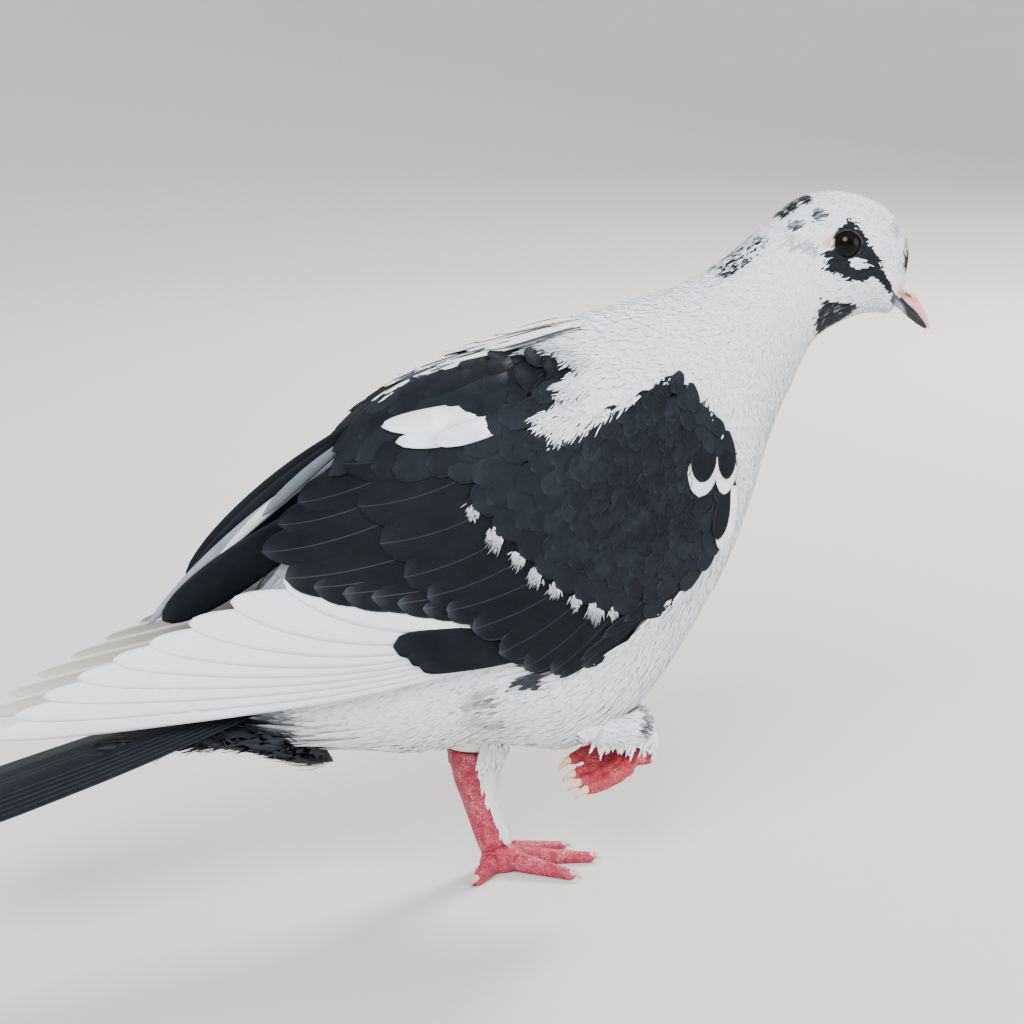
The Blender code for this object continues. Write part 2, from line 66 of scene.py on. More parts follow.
RIGHT_LEG_AXIS = (
    (4.0, -17.8, 61.0, 15.0), (19.6, -16.2, 54.0, 18.0), (33.4, -14.8, 48.9, 20.0),
    (37.6, -14.4, 46.0, 30.0),
)
UNDERTAIL_AXIS = (
    (-58.0, 0.0, 51.0, -20.0), (-68.0, 0.0, 52.8, -20.0), (-94.0, 0.0, 57.7, -8.0),
    (-109.0, 0.0, 55.1, 0.0),
)

# ---- the surface the folded wings share, every 20 mm from x = 60 back ----
# top z, z where it is widest, bottom z, half width
HULL_FRONT = 60.0
HULL_STEP = 20.0
HULL_ROUND = 2.1
HULL = (
    (160.0, 122.0, 74.0, 35.6), (169.8, 122.0, 62.0, 41.8), (170.4, 120.0, 52.0, 44.4),
    (164.6, 115.0, 45.0, 44.6), (158.2, 106.0, 42.0, 41.8), (149.4, 94.0, 40.0, 36.8),
    (130.6, 83.0, 40.0, 30.6), (109.5, 74.0, 42.0, 22.6), (97.6, 66.0, 42.0, 15.8),
    (90.0, 62.0, 42.0, 11.4), (81.0, 60.0, 42.0, 8.4), (72.0, 58.0, 42.0, 6.6),
)
# how far the left wing is shifted where it shows past the body: secondaries back and down, primaries up,
# coverts down
LEFT_BACK = 13.5
LEFT_DROP = 10.2
LEFT_RISE = 4.0
LEFT_LOW = 1.8

# ---- outlines seen from the side, x and z ----
SHIELD_OUTLINE = (
    (-54.0, 135.6), (-42.0, 147.2), (-26.0, 154.8), (-5.0, 162.2), (15.0, 162.6), (36.5, 156.2),
    (46.5, 146.5), (53.9, 131.0), (51.0, 114.0), (43.5, 100.5), (27.5, 87.5), (13.4, 76.8), (-1.9, 75.0),
    (-11.4, 77.4), (-17.0, 92.8), (-31.2, 119.1), (-44.6, 124.8),
)
MANTLE = (
    (37.0, 156.5), (28.0, 152.0), (21.5, 150.0), (16.0, 147.7), (11.7, 146.3), (6.2, 143.5), (1.5, 144.1),
    (-3.1, 148.5), (3.9, 150.4), (7.7, 151.3), (6.4, 154.5), (5.1, 156.1), (9.9, 157.4), (13.5, 159.8),
    (10.0, 162.6), (4.3, 163.5), (4.3, 178.0), (60.0, 178.0), (48.0, 150.0),
)

EYE_AT = (102.4, 9.1, 188.5)
EYE_R = 5.1
EYE_OPENING = 4.1

# ---- plumage colours ----
# white plumage; its slight blue is painted skylight, the cool light on the shaded side
WHITE = np.array((0.83, 0.855, 0.89))
CREAM = np.array((0.86, 0.80, 0.71))
BLACK = np.array((0.0062, 0.0079, 0.0103))
SLATE = np.array((0.13, 0.15, 0.20))
TAN = np.array((0.78, 0.56, 0.40))

SIDES = ((1, "left"), (-1, "right"))
TOES = ("hallux", "inner", "middle", "outer")


# ------------------------------------------------------------------ geometry helpers

def pose(points):
    """Points of the straight bird, as the bird stands; both in millimetres."""
    p = np.asarray(points, float)
    angle = np.clip((p[..., 0] - BEND_START) / BEND_RADIUS, 0.0, HEAD_TURN)
    past = p[..., 0] - BEND_START - BEND_RADIUS * angle
    reach = BEND_RADIUS + p[..., 1]
    x = BEND_START + reach * np.sin(angle) + past * np.cos(angle)
    y = BODY_SIDE - BEND_RADIUS + reach * np.cos(angle) - past * np.sin(angle)
    return np.stack([x, y, p[..., 2]], -1)


def straighten(points):
    """The inverse of pose."""
    p = np.asarray(points, float)
    dx = p[..., 0] - BEND_START
    dy = p[..., 1] - BODY_SIDE + BEND_RADIUS
    angle = np.clip(np.arctan2(dx, dy), 0.0, HEAD_TURN)
    past = dx * np.cos(angle) - dy * np.sin(angle)
    reach = dx * np.sin(angle) + dy * np.cos(angle)
    return np.stack([BEND_START + BEND_RADIUS * angle + past, reach - BEND_RADIUS, p[..., 2]], -1)


def unit(v):
    """Vectors brought to a length of one."""
    return v / np.maximum(np.linalg.norm(v, axis=-1, keepdims=True), 1e-9)


def ease(low, high, value):
    """A smooth step from 0 at low to 1 at high."""
    f = np.clip((value - low) / (high - low), 0.0, 1.0)
    return f * f * (3.0 - 2.0 * f)


def spline(rows, t):
    """A smooth curve through the rows, whose parameter counts rows."""
    rows = np.asarray(rows, float)
    last = len(rows) - 1
    t = np.clip(np.asarray(t, float), 0.0, last)
    i = np.minimum(t.astype(int), last - 1)
    f = (t - i)[..., None]
    padded = np.vstack([2.0 * rows[0] - rows[1], rows, 2.0 * rows[-1] - rows[-2]])
    a, b, c, d = (padded[i + k] for k in range(4))
    return 0.5 * (2.0 * b + (c - a) * f + (2.0 * a - 5.0 * b + 4.0 * c - d) * f ** 2
                  + (3.0 * b - a - 3.0 * c + d) * f ** 3)


def inside(outline, x, z):
    """Which of the places lie inside an outline."""
    found = np.zeros(np.shape(x), bool)
    for k, (ax, az) in enumerate(outline):
        bx, bz = outline[k - 1]
        crosses = (az > z) != (bz > z)
        at = (bx - ax) * (z - az) / (bz - az if bz != az else 1e-9) + ax
        found ^= crosses & (x < at)
    return found


def ripple(x, y, z, scale, seed=0.0):
    """Smooth noise between -1 and 1 about as wide as the scale."""
    a, b, c = x / scale, y / scale, z / scale
    n = np.sin(1.7 * a + 2.3 * c + seed) * np.cos(2.1 * b - 1.3 * c + 1.7 * seed)
    n += np.sin(3.1 * c - 1.9 * a + 2.9 * seed) * np.cos(2.7 * a + 1.1 * b + seed)
    n += 0.7 * np.sin(4.3 * a + 3.7 * b + 5.1 * c + 0.7 * seed)
    return n / 2.2


def node_points(name):
    """The points of one of the part's solids, in metres."""
    return np.array([v.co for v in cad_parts[name].data.vertices])


def tree_of(names):
    """The part's named solids as one tree for casting rays, in millimetres."""
    verts = []
    faces = []
    for name in names:
        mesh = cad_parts[name].data
        start = len(verts)
        verts += [v.co / MM for v in mesh.vertices]
        faces += [[start + i for i in p.vertices] for p in mesh.polygons]
    return BVHTree.FromPolygons(verts, faces)


def blur(field, passes):
    """Smooth a grid that runs around its second axis."""
    for _ in range(passes):
        field = (np.roll(field, 1, 1) + 2.0 * field + np.roll(field, -1, 1)) / 4.0
        ends = np.concatenate([field[:1], field, field[-1:]])
        field = (ends[:-2] + 2.0 * ends[1:-1] + ends[2:]) / 4.0
    return field


LEAST_STEP = 0.2
LEAST_RADIUS = 0.5


class Shell:
    """The surface around an axis, as a grid of stations along it and places around it."""

    def __init__(self, axis, names, step, sides, reach, soften):
        dense = np.linspace(0.0, len(axis) - 1.0, 600)
        line = spline(axis, dense)
        pieces = np.linalg.norm(np.diff(line[:, :3], axis=0), axis=1)
        along = np.concatenate([[0.0], np.cumsum(pieces)])
        self.long = along[-1]
        self.stations = int(self.long / step) + 1
        self.end = self.stations - 1.001
        self.sides = sides
        self.run = np.linspace(0.0, self.long, self.stations)
        rows = spline(axis, np.interp(self.run, along, dense))
        core, far, back = self.rays(rows, reach)
        radius = blur(self.cast(tree_of(names), core, far, back, reach), soften)
        self.at = core - back * radius[..., None]
        self.straight = straighten(self.at)
        self.ahead = np.gradient(self.at, axis=0)
        around = (np.roll(self.at, -1, 1) - np.roll(self.at, 1, 1)) / 2.0
        normal = np.cross(around, self.ahead)
        sign = np.sign((normal * (self.at - core)).sum(-1, keepdims=True))
        self.normal = unit(blur(unit(normal * sign), 2))
        self.area = np.linalg.norm(normal, axis=-1)
        self.step_long = np.linalg.norm(self.ahead, axis=-1)
        self.step_round = np.linalg.norm(around, axis=-1)

    def rays(self, rows, reach):
        """For each place, a point on the axis, a far point outside, and the way back in."""
        lean = np.radians(rows[:, 3])[:, None]
        turn = (np.arange(self.sides) * 2.0 * math.pi / self.sides)[None]
        flat = np.cos(turn)
        ray = np.stack([np.sin(lean) * flat, np.sin(turn) + 0.0 * lean, np.cos(lean) * flat], -1)
        centre = rows[:, None, :3] + 0.0 * ray
        core = pose(centre)
        far = pose(centre + ray * reach)
        return core, far, unit(core - far)

    def cast(self, tree, core, far, back, reach):
        """How far the solids reach from the axis at each place."""
        radius = np.ones((self.stations, self.sides))
        for i, j in np.ndindex(radius.shape):
            hit = tree.ray_cast(Vector(far[i, j]), Vector(back[i, j]), reach * 1.2)[0]
            if hit is not None:
                radius[i, j] = max((Vector(core[i, j]) - hit).dot(Vector(back[i, j])), LEAST_RADIUS)
        return radius

    def look(self, field, s, a):
        """A field's value between the grid's places."""
        s = np.clip(s, 0.0, self.end)
        i = s.astype(int)
        f = s - i
        a = np.mod(a, self.sides)
        j = np.minimum(a.astype(int), self.sides - 1)
        g = a - j
        n = (j + 1) % self.sides
        if field.ndim == 3:
            f = f[..., None]
            g = g[..., None]
        return ((field[i, j] * (1 - g) + field[i, n] * g) * (1 - f)
                + (field[i + 1, j] * (1 - g) + field[i + 1, n] * g) * f)

    def onward(self, s, a, reach):
        """The station that lies a distance further along the shell."""
        return s + reach / np.maximum(self.look(self.step_long, s, a), LEAST_STEP)


def scatter(shell, density):
    """Evenly spread places on a shell, as stations and sides, from a density a square millimetre."""
    expected = (shell.area * density).ravel()
    total = int(expected.sum())
    edges = np.cumsum(expected)
    picks = (np.arange(total) + RNG.random(total)) * edges[-1] / total
    cell = np.minimum(np.searchsorted(edges, picks), len(edges) - 1)
    return cell // shell.sides + RNG.random(total) - 0.5, cell % shell.sides + RNG.random(total) - 0.5


def tube_faces(rings, sides):
    """Faces of rings of points, in order, closed by one more point at either end."""
    i, j = np.meshgrid(np.arange(rings - 1), np.arange(sides), indexing="ij")
    k = (j + 1) % sides
    quads = np.stack([i * sides + j, i * sides + k, (i + 1) * sides + k, (i + 1) * sides + j], -1)
    j = np.arange(sides)
    k = (j + 1) % sides
    last = (rings - 1) * sides
    ends = np.full((2, sides), rings * sides) + np.array([[0], [1]])
    caps = [np.stack([k, j, ends[0]], -1), np.stack([last + j, last + k, ends[1]], -1)]
    return quads.reshape(-1, 4), np.concatenate(caps)


# ------------------------------------------------------------------ mesh making

def build_mesh(name, verts, faces):
    """A smooth mesh from points in millimetres and arrays of faces, each of one face size, facing out."""
    mesh = bpy.data.meshes.new(name)
    verts = np.asarray(verts, float).reshape(-1, 3)
    faces = [np.asarray(f, np.int32) for f in faces if len(f)]
    volume = 0.0
    for f in faces:
        for k in range(1, f.shape[1] - 1):
            volume += (verts[f[:, 0]] * np.cross(verts[f[:, k]], verts[f[:, k + 1]])).sum()
    if volume < 0.0:
        faces = [f[:, ::-1] for f in faces]
    verts = (verts * MM).astype(np.float32)
    loops = np.concatenate([f.ravel() for f in faces])
    sizes = np.concatenate([np.full(len(f), f.shape[1], np.int32) for f in faces])
    starts = np.concatenate([[0], np.cumsum(sizes)[:-1]]).astype(np.int32)
    mesh.vertices.add(len(verts))
    mesh.vertices.foreach_set("co", verts.ravel())
    mesh.loops.add(len(loops))
    mesh.loops.foreach_set("vertex_index", loops)
    mesh.polygons.add(len(sizes))
    mesh.polygons.foreach_set("loop_start", starts)
    mesh.polygons.foreach_set("loop_total", sizes)
    mesh.polygons.foreach_set("use_smooth", np.full(len(sizes), True))
    mesh.update()
    mesh.validate()
    return mesh


def paint(mesh, colours):
    """Write a colour for each point."""
    rgba = np.ones((len(mesh.vertices), 4), np.float32)
    rgba[:, :3] = np.clip(colours, 0.0, 1.0)
    mesh.attributes.new("tint", "FLOAT_COLOR", "POINT").data.foreach_set("color", rgba.ravel())


def read(mesh, name):
    """A vector of each point."""
    values = np.zeros(len(mesh.vertices) * 3, np.float32)
    mesh.vertices.foreach_get(name, values)
    return values.reshape(-1, 3)


def note(mesh, name, values):
    """Write a vector for each point."""
    layer = mesh.attributes.new(name, "FLOAT_VECTOR", "POINT")
    layer.data.foreach_set("vector", np.asarray(values, np.float32).ravel())


def lay_map(mesh, uv):
    """Write the map the looks are baked on, from a place for each point."""
    loops = np.zeros(len(mesh.loops), np.int32)
    mesh.loops.foreach_get("vertex_index", loops)
    layer = mesh.uv_layers.new(name="OFBake")
    layer.data.foreach_set("uv", np.asarray(uv, np.float32)[loops].ravel())


def place(name, data):
    """A new object in the scene."""
    thing = bpy.data.objects.new(name, data)
    bpy.context.scene.collection.objects.link(thing)
    return thing


def evaluated(thing):
    """The mesh that an object's modifiers make; the object is removed."""
    mesh = bpy.data.meshes.new_from_object(thing.evaluated_get(bpy.context.evaluated_depsgraph_get()))
    bpy.data.objects.remove(thing)
    return mesh


def show(name, mesh, material, slot, *nodes):
    """Put a piece in the scene, riding on the bird, in place of its CAD nodes."""
    piece = place(name, mesh)
    mesh.materials.clear()
    mesh.materials.append(material)
    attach(piece, "root")
    if nodes:
        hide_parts(*nodes)


# ------------------------------------------------------------------ markings

def oval(x, z, cx, cz, rx, rz, tilt):
    """How far out of an oval a place is, 1 being its rim."""
    c, s = math.cos(math.radians(tilt)), math.sin(math.radians(tilt))
    dx = x - cx
    dz = z - cz
    return np.hypot((dx * c + dz * s) / rx, (-dx * s + dz * c) / rz)


def blend(colour, other, cover):
    """A colour drawn towards another by a cover from 0 to 1 at each place."""
    return colour + (other - colour) * np.asarray(cover)[..., None]


def blot(x, y, z, spec, rag=0.22):
    """Cover of an oval mark with a ragged rim, drawn out along the lie of the feathers."""
    rim = oval(x, z, *spec) + rag * ripple(x * 0.4, y * 1.2, z * 1.4, 0.9, spec[0])
    return 1.0 - ease(0.75, 1.15, rim)


def haze(x, y, z, spec):
    """Cover of an oval mark that fades out from its middle."""
    rim = oval(x, z, *spec) + 0.12 * ripple(x * 0.4, y * 1.2, z * 1.4, 1.4, spec[0])
    return 1.0 - ease(0.2, 1.25, rim)


def patch(x, y, z, outline, rag):
    """Cover of an outlined mark whose rim strays along the lie of the feathers."""
    stray = rag * ripple(x * 0.35, y, z * 1.6, 0.9, outline[0][0])
    return inside(outline, x + stray, z + 0.35 * stray) * 1.0


# Marks are ovals: centre x, centre z, half length, half height and tilt in degrees. The soft and the flank
# ones end with their strength.
FOREHEAD_MARK = (120.2, 183.2, 2.1, 3.6, 8.0)
NAPE_MARK = (69.6, 184.0, 9.6, 4.6, 40.0)
EYE_FLECK = (96.4, 189.0, 1.7, 1.9, 0.0)
OCCIPUT_MARKS = (
    (83.0, 196.6, 1.8, 1.3, 40.0), (86.2, 198.8, 1.9, 1.3, 38.0), (90.0, 200.7, 2.0, 1.4, 20.0),
)
SOFT_MARKS = (
    (86.2, 193.8, 3.0, 1.2, 12.0, 1.0), (93.6, 196.6, 2.5, 1.5, 20.0, 1.0),
    (85.8, 188.6, 3.6, 2.0, -24.0, 0.5), (90.8, 187.6, 2.8, 1.9, -30.0, 0.55),
    (117.0, 192.6, 1.6, 2.4, 0.0, 0.4), (120.4, 188.6, 1.3, 2.6, 0.0, 0.6),
)
FLANK_MARKS = (
    (-6.0, 72.6, 5.2, 3.6, 10.0, 2.0), (-18.5, 64.6, 4.4, 8.0, 18.0, 0.85),
    (-13.0, 56.5, 6.2, 3.4, -20.0, 0.6), (-19.0, 60.0, 3.4, 4.8, 10.0, 0.35),
    (32.0, 52.0, 2.8, 5.0, -25.0, 1.0),
)

# Outlines of marks seen from the side, and the line where the bill closes.
EYE_PATCH = (
    (98.2, 190.6), (99.2, 193.2), (101.2, 193.6), (102.6, 195.8), (104.4, 194.8), (107.2, 191.9),
    (109.6, 188.0), (112.0, 184.3), (112.9, 180.9), (114.8, 178.2), (117.0, 175.2), (115.6, 173.9),
    (113.5, 176.4), (110.7, 179.2), (108.5, 179.0), (107.5, 177.9), (105.2, 178.6), (103.4, 177.7),
    (101.4, 179.6), (98.8, 180.4), (94.5, 181.3), (96.2, 183.2), (93.4, 186.6), (97.6, 186.0),
)
EYE_NOTCH = ((103.2, 184.6), (105.7, 185.1), (108.2, 183.7), (108.9, 182.1), (105.9, 181.0), (104.1, 182.6))
THROAT_PATCH = (
    (95.6, 173.9), (97.6, 171.9), (101.0, 171.6), (104.3, 171.4), (106.3, 169.9), (103.9, 167.1),
    (101.2, 165.1), (98.3, 163.1), (94.6, 161.2), (92.9, 164.6), (93.2, 168.4), (95.2, 170.7),
)
BILL_BASE = (
    (123.5, 182.0), (120.9, 180.1), (118.6, 179.4), (116.3, 178.5), (115.8, 176.8), (116.5, 174.6),
    (115.8, 173.1), (116.0, 171.2), (118.6, 168.5), (124.0, 164.0), (130.0, 172.0),
)
MOUTH_AT = (120.4, 170.6)
MOUTH_SLOPE = 1.02


def above_mouth(x, z):
    """How far above the line where the bill closes a place is."""
    return z - (MOUTH_AT[1] - MOUTH_SLOPE * (x - MOUTH_AT[0]))


def bare_tones(straight, colour):
    """The coat's colours with the bare skin about the bill."""
    x, y, z = straight.T
    colour = colour.copy()
    bare = inside(BILL_BASE, x, z)
    upper = bare & (above_mouth(x, z) > 0.0)
    for pick, tones in ((upper, upper_tones), (bare & ~upper, lower_tones)):
        colour[pick] = tones(x[pick], y[pick], z[pick])
    return colour


def head_marks(x, y, z):
    """Cover of black on the head and neck."""
    cover = patch(x, y, z, EYE_PATCH, np.interp(x, (106.0, 112.0), (0.9, 0.25)))
    cover *= 1.0 - patch(x, y, z, EYE_NOTCH, 0.4)
    thin = np.clip(1.0 + 0.45 * ripple(x * 0.4, y, z * 1.5, 1.0, 4.0), 0.45, 1.0)
    cover = np.maximum(cover, patch(x, y, z, THROAT_PATCH, 1.3) * (y < -2.4) * thin)
    for spec in OCCIPUT_MARKS:
        aside = np.abs(y + 2.0) / 4.8 + 0.25 * ripple(y, x * 0.6, z, 1.2, spec[0])
        cover = np.maximum(cover, blot(x, y, z, spec, 0.3) * (1.0 - ease(0.7, 1.1, aside)))
    aside = np.hypot((y + 4.0) / 4.4, (z - FOREHEAD_MARK[1]) / 4.0)
    aside += 0.3 * ripple(y * 1.2, x * 0.5, z * 0.6, 1.0, 6.0)
    cover = np.maximum(cover, blot(x, y, z, FOREHEAD_MARK) * (1.0 - ease(0.7, 1.1, aside)))
    nape = 1.0 - ease(0.75, 1.05, oval(x, z, *NAPE_MARK))
    flecks = ease(-0.05, 0.20, ripple(x * 0.45, y * 1.2, z * 1.2, 1.3, 2.0))
    nape_cover = nape * flecks * (y > -8.5) * (y < 6.0)
    return 1.0 - (1.0 - np.maximum(cover, nape_cover)) ** 1.8


def plumage(straight):
    """The coat's colour at places of the straight bird."""
    x, y, z = np.moveaxis(np.asarray(straight, float), -1, 0)
    # the lower belly drawn towards cream is painted warm light bounced onto its underside
    belly = ease(72.0, 48.0, z) * ease(30.0, -30.0, x)
    colour = blend(WHITE, CREAM, 0.5 * belly)
    colour = blend(colour, CREAM, 0.08 * ease(0.2, 0.9, ripple(x, y, z, 9.0, 5.0)))
    soft = np.zeros(np.shape(x))
    for *spec, strength in SOFT_MARKS:
        soft = np.maximum(soft, strength * blot(x, y, z, spec, 0.5))
    for *spec, strength in FLANK_MARKS:
        soft = np.maximum(soft, strength * haze(x, y, z, spec) * (y < 0.0))
    thin = np.clip(0.9 + 0.3 * ripple(x * 0.4, y, z * 1.5, 1.1, 9.0), 0.4, 1.0)
    colour = blend(colour, SLATE * 0.22, np.minimum(soft * thin, 1.0))
    colour = blend(colour, BLACK * 1.2, head_marks(x, y, z) * (x > 55.0))
    behind_eye = 1.0 - ease(0.7, 1.2, oval(x, z, *EYE_FLECK))
    colour = blend(colour, TAN, behind_eye * (np.abs(y) > 6.0))
    streaks = 0.5 + 0.5 * ripple(x * 0.3, y * 1.4, z, 3.0, 7.0)
    colour = blend(colour, SLATE * 0.4, 0.8 * (ease(14.0, -2.0, x) * ease(118.0, 128.0, z) * streaks))
    colour = blend(colour, SLATE * 0.4, 0.9 * ease(-62.0, -76.0, x))
    return blend(colour, BLACK, on_wing(x, y, z) * ease(52.0, 49.0, x))


def on_wing(x, y, z):
    """Whether a place belongs to the dark part of a folded wing."""
    wide = hull_half_width(x, z)
    return inside(SHIELD_OUTLINE, x, z) & ~inside(MANTLE, x, z) & (np.abs(y) > 0.62 * wide)


# ------------------------------------------------------------------ charts of the wing and the tail

CHART_STEP = 0.4
STEEPEST = 2.5


def hull_at(x):
    """The folded wings' top, height of the widest place, bottom and half width at x."""
    return np.moveaxis(spline(HULL, (HULL_FRONT - x) / HULL_STEP), -1, 0)


def hull_curve(share):
    """The hull's outline across: what is left of one half axis at a share of the other."""
    return (1.0 - share ** HULL_ROUND) ** (1.0 / HULL_ROUND)


def hull_half_width(x, z):
    """How far the folded wing lies from the middle plane at a place seen from the side."""
    top, widest, bottom, half = hull_at(x)
    reach = np.where(z > widest, top - widest, widest - bottom)
    return half * hull_curve(np.clip(np.abs(z - widest) / reach, 0.0, 0.995))


def hull_height(x, y):
    """How high the folded wing's upper side lies at a distance from the middle plane."""
    top, widest, _, half = hull_at(x)
    return widest + (top - widest) * hull_curve(np.clip(np.abs(y) / half, 0.0, 0.95))


def slopes(surface, a, b):
    """How steeply a surface rises along each direction of its chart."""
    step = CHART_STEP
    rise_a = (surface(a + step, b) - surface(a - step, b)) / (2.0 * step)
    rise_b = (surface(a, b + step) - surface(a, b - step)) / (2.0 * step)
    return np.clip(rise_a, -STEEPEST, STEEPEST), np.clip(rise_b, -STEEPEST, STEEPEST)


def stay(x, z):
    """The right wing's feathers, left where they are."""
    return x, z


def lower_left(x, z):
    """The left wing's coverts, a little lower towards the back."""
    return x, z - LEFT_LOW * np.clip(-x / 54.0, 0.0, 1.0)


def drop_left(x, z):
    """The left wing's secondaries, whose tips reach further back and down."""
    share = np.clip((-50.0 - x) / 26.0, 0.0, 1.0)
    low = lower_left(x, z)[1]
    return x - LEFT_BACK * np.sin(share * math.pi / 2.0), low - LEFT_DROP * share ** 3


def rise_left(x, z):
    """The left wing's primaries, raised towards their tips."""
    return x, z + LEFT_RISE * np.clip((-70.0 - x) / 80.0, 0.0, 1.0)


def wing_chart(side, shift):
    """The wing as a function of a place seen from the side: its point, its normal and its slopes."""
    def chart(a, b):
        da, db = slopes(hull_half_width, a, b)
        normal = unit(np.stack([-da, np.ones(np.shape(a)), -db], -1)) * np.array((1.0, side, 1.0))
        x, z = shift(a, b)
        return np.stack([x, hull_half_width(a, b) * side, z], -1), normal, da, db
    return chart


def back_chart(side, shift):
    """The same surface near its top, as a function of x and the distance from the middle plane."""
    def chart(a, b):
        da, db = slopes(hull_height, a, b)
        normal = unit(np.stack([-da, -db * side, np.ones(np.shape(a))], -1))
        x, z = shift(a, hull_height(a, b))
        return np.stack([x, b * side, z], -1), normal, da, db
    return chart


def side_chart(middle, bow=0.0, level=0.0):
    """An upright surface seen from the bird's right, as a function of x and z; bow leans it about a level."""
    def chart(a, b):
        flat = np.zeros(np.shape(a))
        point = np.stack([a, flat + middle - bow * (b - level), b], -1)
        return point, np.stack([flat, flat - 1.0, flat], -1), flat, flat - bow
    return chart


TAIL_BASE = (-86.0, 65.0)
TAIL_TIP = (-173.0, 41.8)


def tail_chart(a, b):
    """The tail's upper surface as a function of x and y."""
    slope = (TAIL_TIP[1] - TAIL_BASE[1]) / (TAIL_TIP[0] - TAIL_BASE[0])
    z = TAIL_BASE[1] + slope * (a - TAIL_BASE[0]) - 0.9 * (b / 20.0) ** 2 + 0.4
    da = np.full(np.shape(a), slope)
    db = -1.8 * b / 400.0
    return np.stack([a, b, z], -1), unit(np.stack([-da, -db, np.ones(np.shape(a))], -1)), da, db


# ------------------------------------------------------------------ feathers with a shaft and two vanes

FEATHER_THICK = 0.11
FRILL_FROM = 0.6


def vane_rows(chart, k, f, q):
    """The upper side of feathers laid on a chart, and its normals, row by row from their roots."""
    spot = [k["a"], k["b"]]
    rows = []
    normals = []
    for i, share in enumerate(f):
        turn = k["aim"] + k["curve"] * share
        ahead = np.stack([np.cos(turn), np.sin(turn)], -1)
        cross = np.stack([-ahead[:, 1], ahead[:, 0]], -1)
        _, _, da, db = chart(*spot)
        half = k["wide"] / 2.0 * feather_width(share, k["blunt"])
        stretch = np.sqrt(1.0 + (da * cross[:, 0] + db * cross[:, 1]) ** 2)
        off = half[:, None] * q[None] / stretch[:, None]
        frill = k["frill"][:, None] * RNG.uniform(-1.0, 1.0, off.shape) * (share > FRILL_FROM)
        a, b = (spot[n][:, None] + cross[:, n, None] * off + ahead[:, n, None] * frill for n in range(2))
        point, normal, _, _ = chart(a, b)
        deep = k["deep_root"] + (k["deep_tip"] - k["deep_root"]) * share ** 0.8
        sink = deep[:, None] + k["cup"][:, None] * q[None] ** 2
        rows.append(point - normal * sink[..., None])
        normals.append(normal)
        if i < len(f) - 1:
            go = k["long"] * (f[i + 1] - share)
            spot = [spot[n] + ahead[:, n] * go for n in range(2)]
    return np.stack(rows, 1), np.stack(normals, 1)


def vane_faces(lengthwise, across):
    """Faces of one closed feather: its upper side, its under side and the wall between their rims."""
    per = lengthwise * across
    i, j = np.meshgrid(np.arange(lengthwise - 1), np.arange(across - 1), indexing="ij")
    base = (i * across + j).ravel()
    sheet = np.stack([base, base + 1, base + 1 + across, base + across], -1)
    grid = np.arange(per).reshape(lengthwise, across)
    rim = np.concatenate([grid[0], grid[1:, -1], grid[-1, -2::-1], grid[-2:0:-1, 0]])
    after = np.roll(rim, -1)
    wall = np.stack([after, rim, rim + per, after + per], -1)
    return np.concatenate([sheet, sheet[:, ::-1] + per, wall])


def quills(name, chart, kinds, across, lengthwise, material, slot, *nodes):
    """A piece of closed, cupped feathers, as `feathers` lists them, laid on a chart."""
    k = {key: np.asarray(value, float) for key, value in kinds.items()}
    count = len(k["a"])
    f = 1.0 - (1.0 - np.linspace(0.0, 1.0, lengthwise)) ** 1.35
    q = np.linspace(-1.0, 1.0, across)
    top, normal = vane_rows(chart, k, f, q)
    thick = FEATHER_THICK * (1.0 - 0.6 * q ** 2)[None, None, :, None]
    verts = np.stack([top, top - normal * thick], 1)
    starts = (np.arange(count) * 2 * lengthwise * across)[:, None, None]
    faces = (vane_faces(lengthwise, across)[None] + starts).reshape(-1, 4)
    mesh = build_mesh(name, pose(verts.reshape(-1, 3)), [faces])
    zero = np.zeros((count, 2, lengthwise, across))
    one = {key: value[:, None, None, None] for key, value in k.items()}
    f_all = zero + f[:, None]
    q_all = zero + q
    across_mm = q_all * (one["wide"] / 2.0 * feather_width(f_all, zero + one["blunt"]))
    note(mesh, "vane", np.stack([q_all, f_all, zero + one["edge"]], -1).reshape(-1, 3))
    note(mesh, "vane_mm", np.stack([across_mm, f_all * one["long"], zero + one["shaft"]], -1).reshape(-1, 3))
    paint(mesh, (one["tint"] * (1.0 - one["fade"] * f_all)[..., None]).reshape(-1, 3))
    columns = int(math.ceil(math.sqrt(count)))
    cell = np.arange(count)[:, None, None, None]
    u = (cell % columns + 0.5 + 0.44 * q_all) / columns
    v = (cell // columns + 0.06 + 0.88 * f_all) / columns
    lay_map(mesh, np.stack([u, v], -1).reshape(-1, 2))
    show(name, mesh, material, slot, *nodes)


def feather_width(f, blunt):
    """A feather's width along its length, as a share of its full width; blunt widens its tip."""
    base = 0.42 + 0.58 * np.sin(np.minimum(f / 0.55, 1.0) * math.pi / 2.0)
    tip = np.clip((f - 0.55) / 0.45, 0.0, 1.0)
    return base * (1.0 - np.minimum(tip, 0.999) ** blunt) ** (1.0 / 2.0)


# ------------------------------------------------------------------ the soft coat

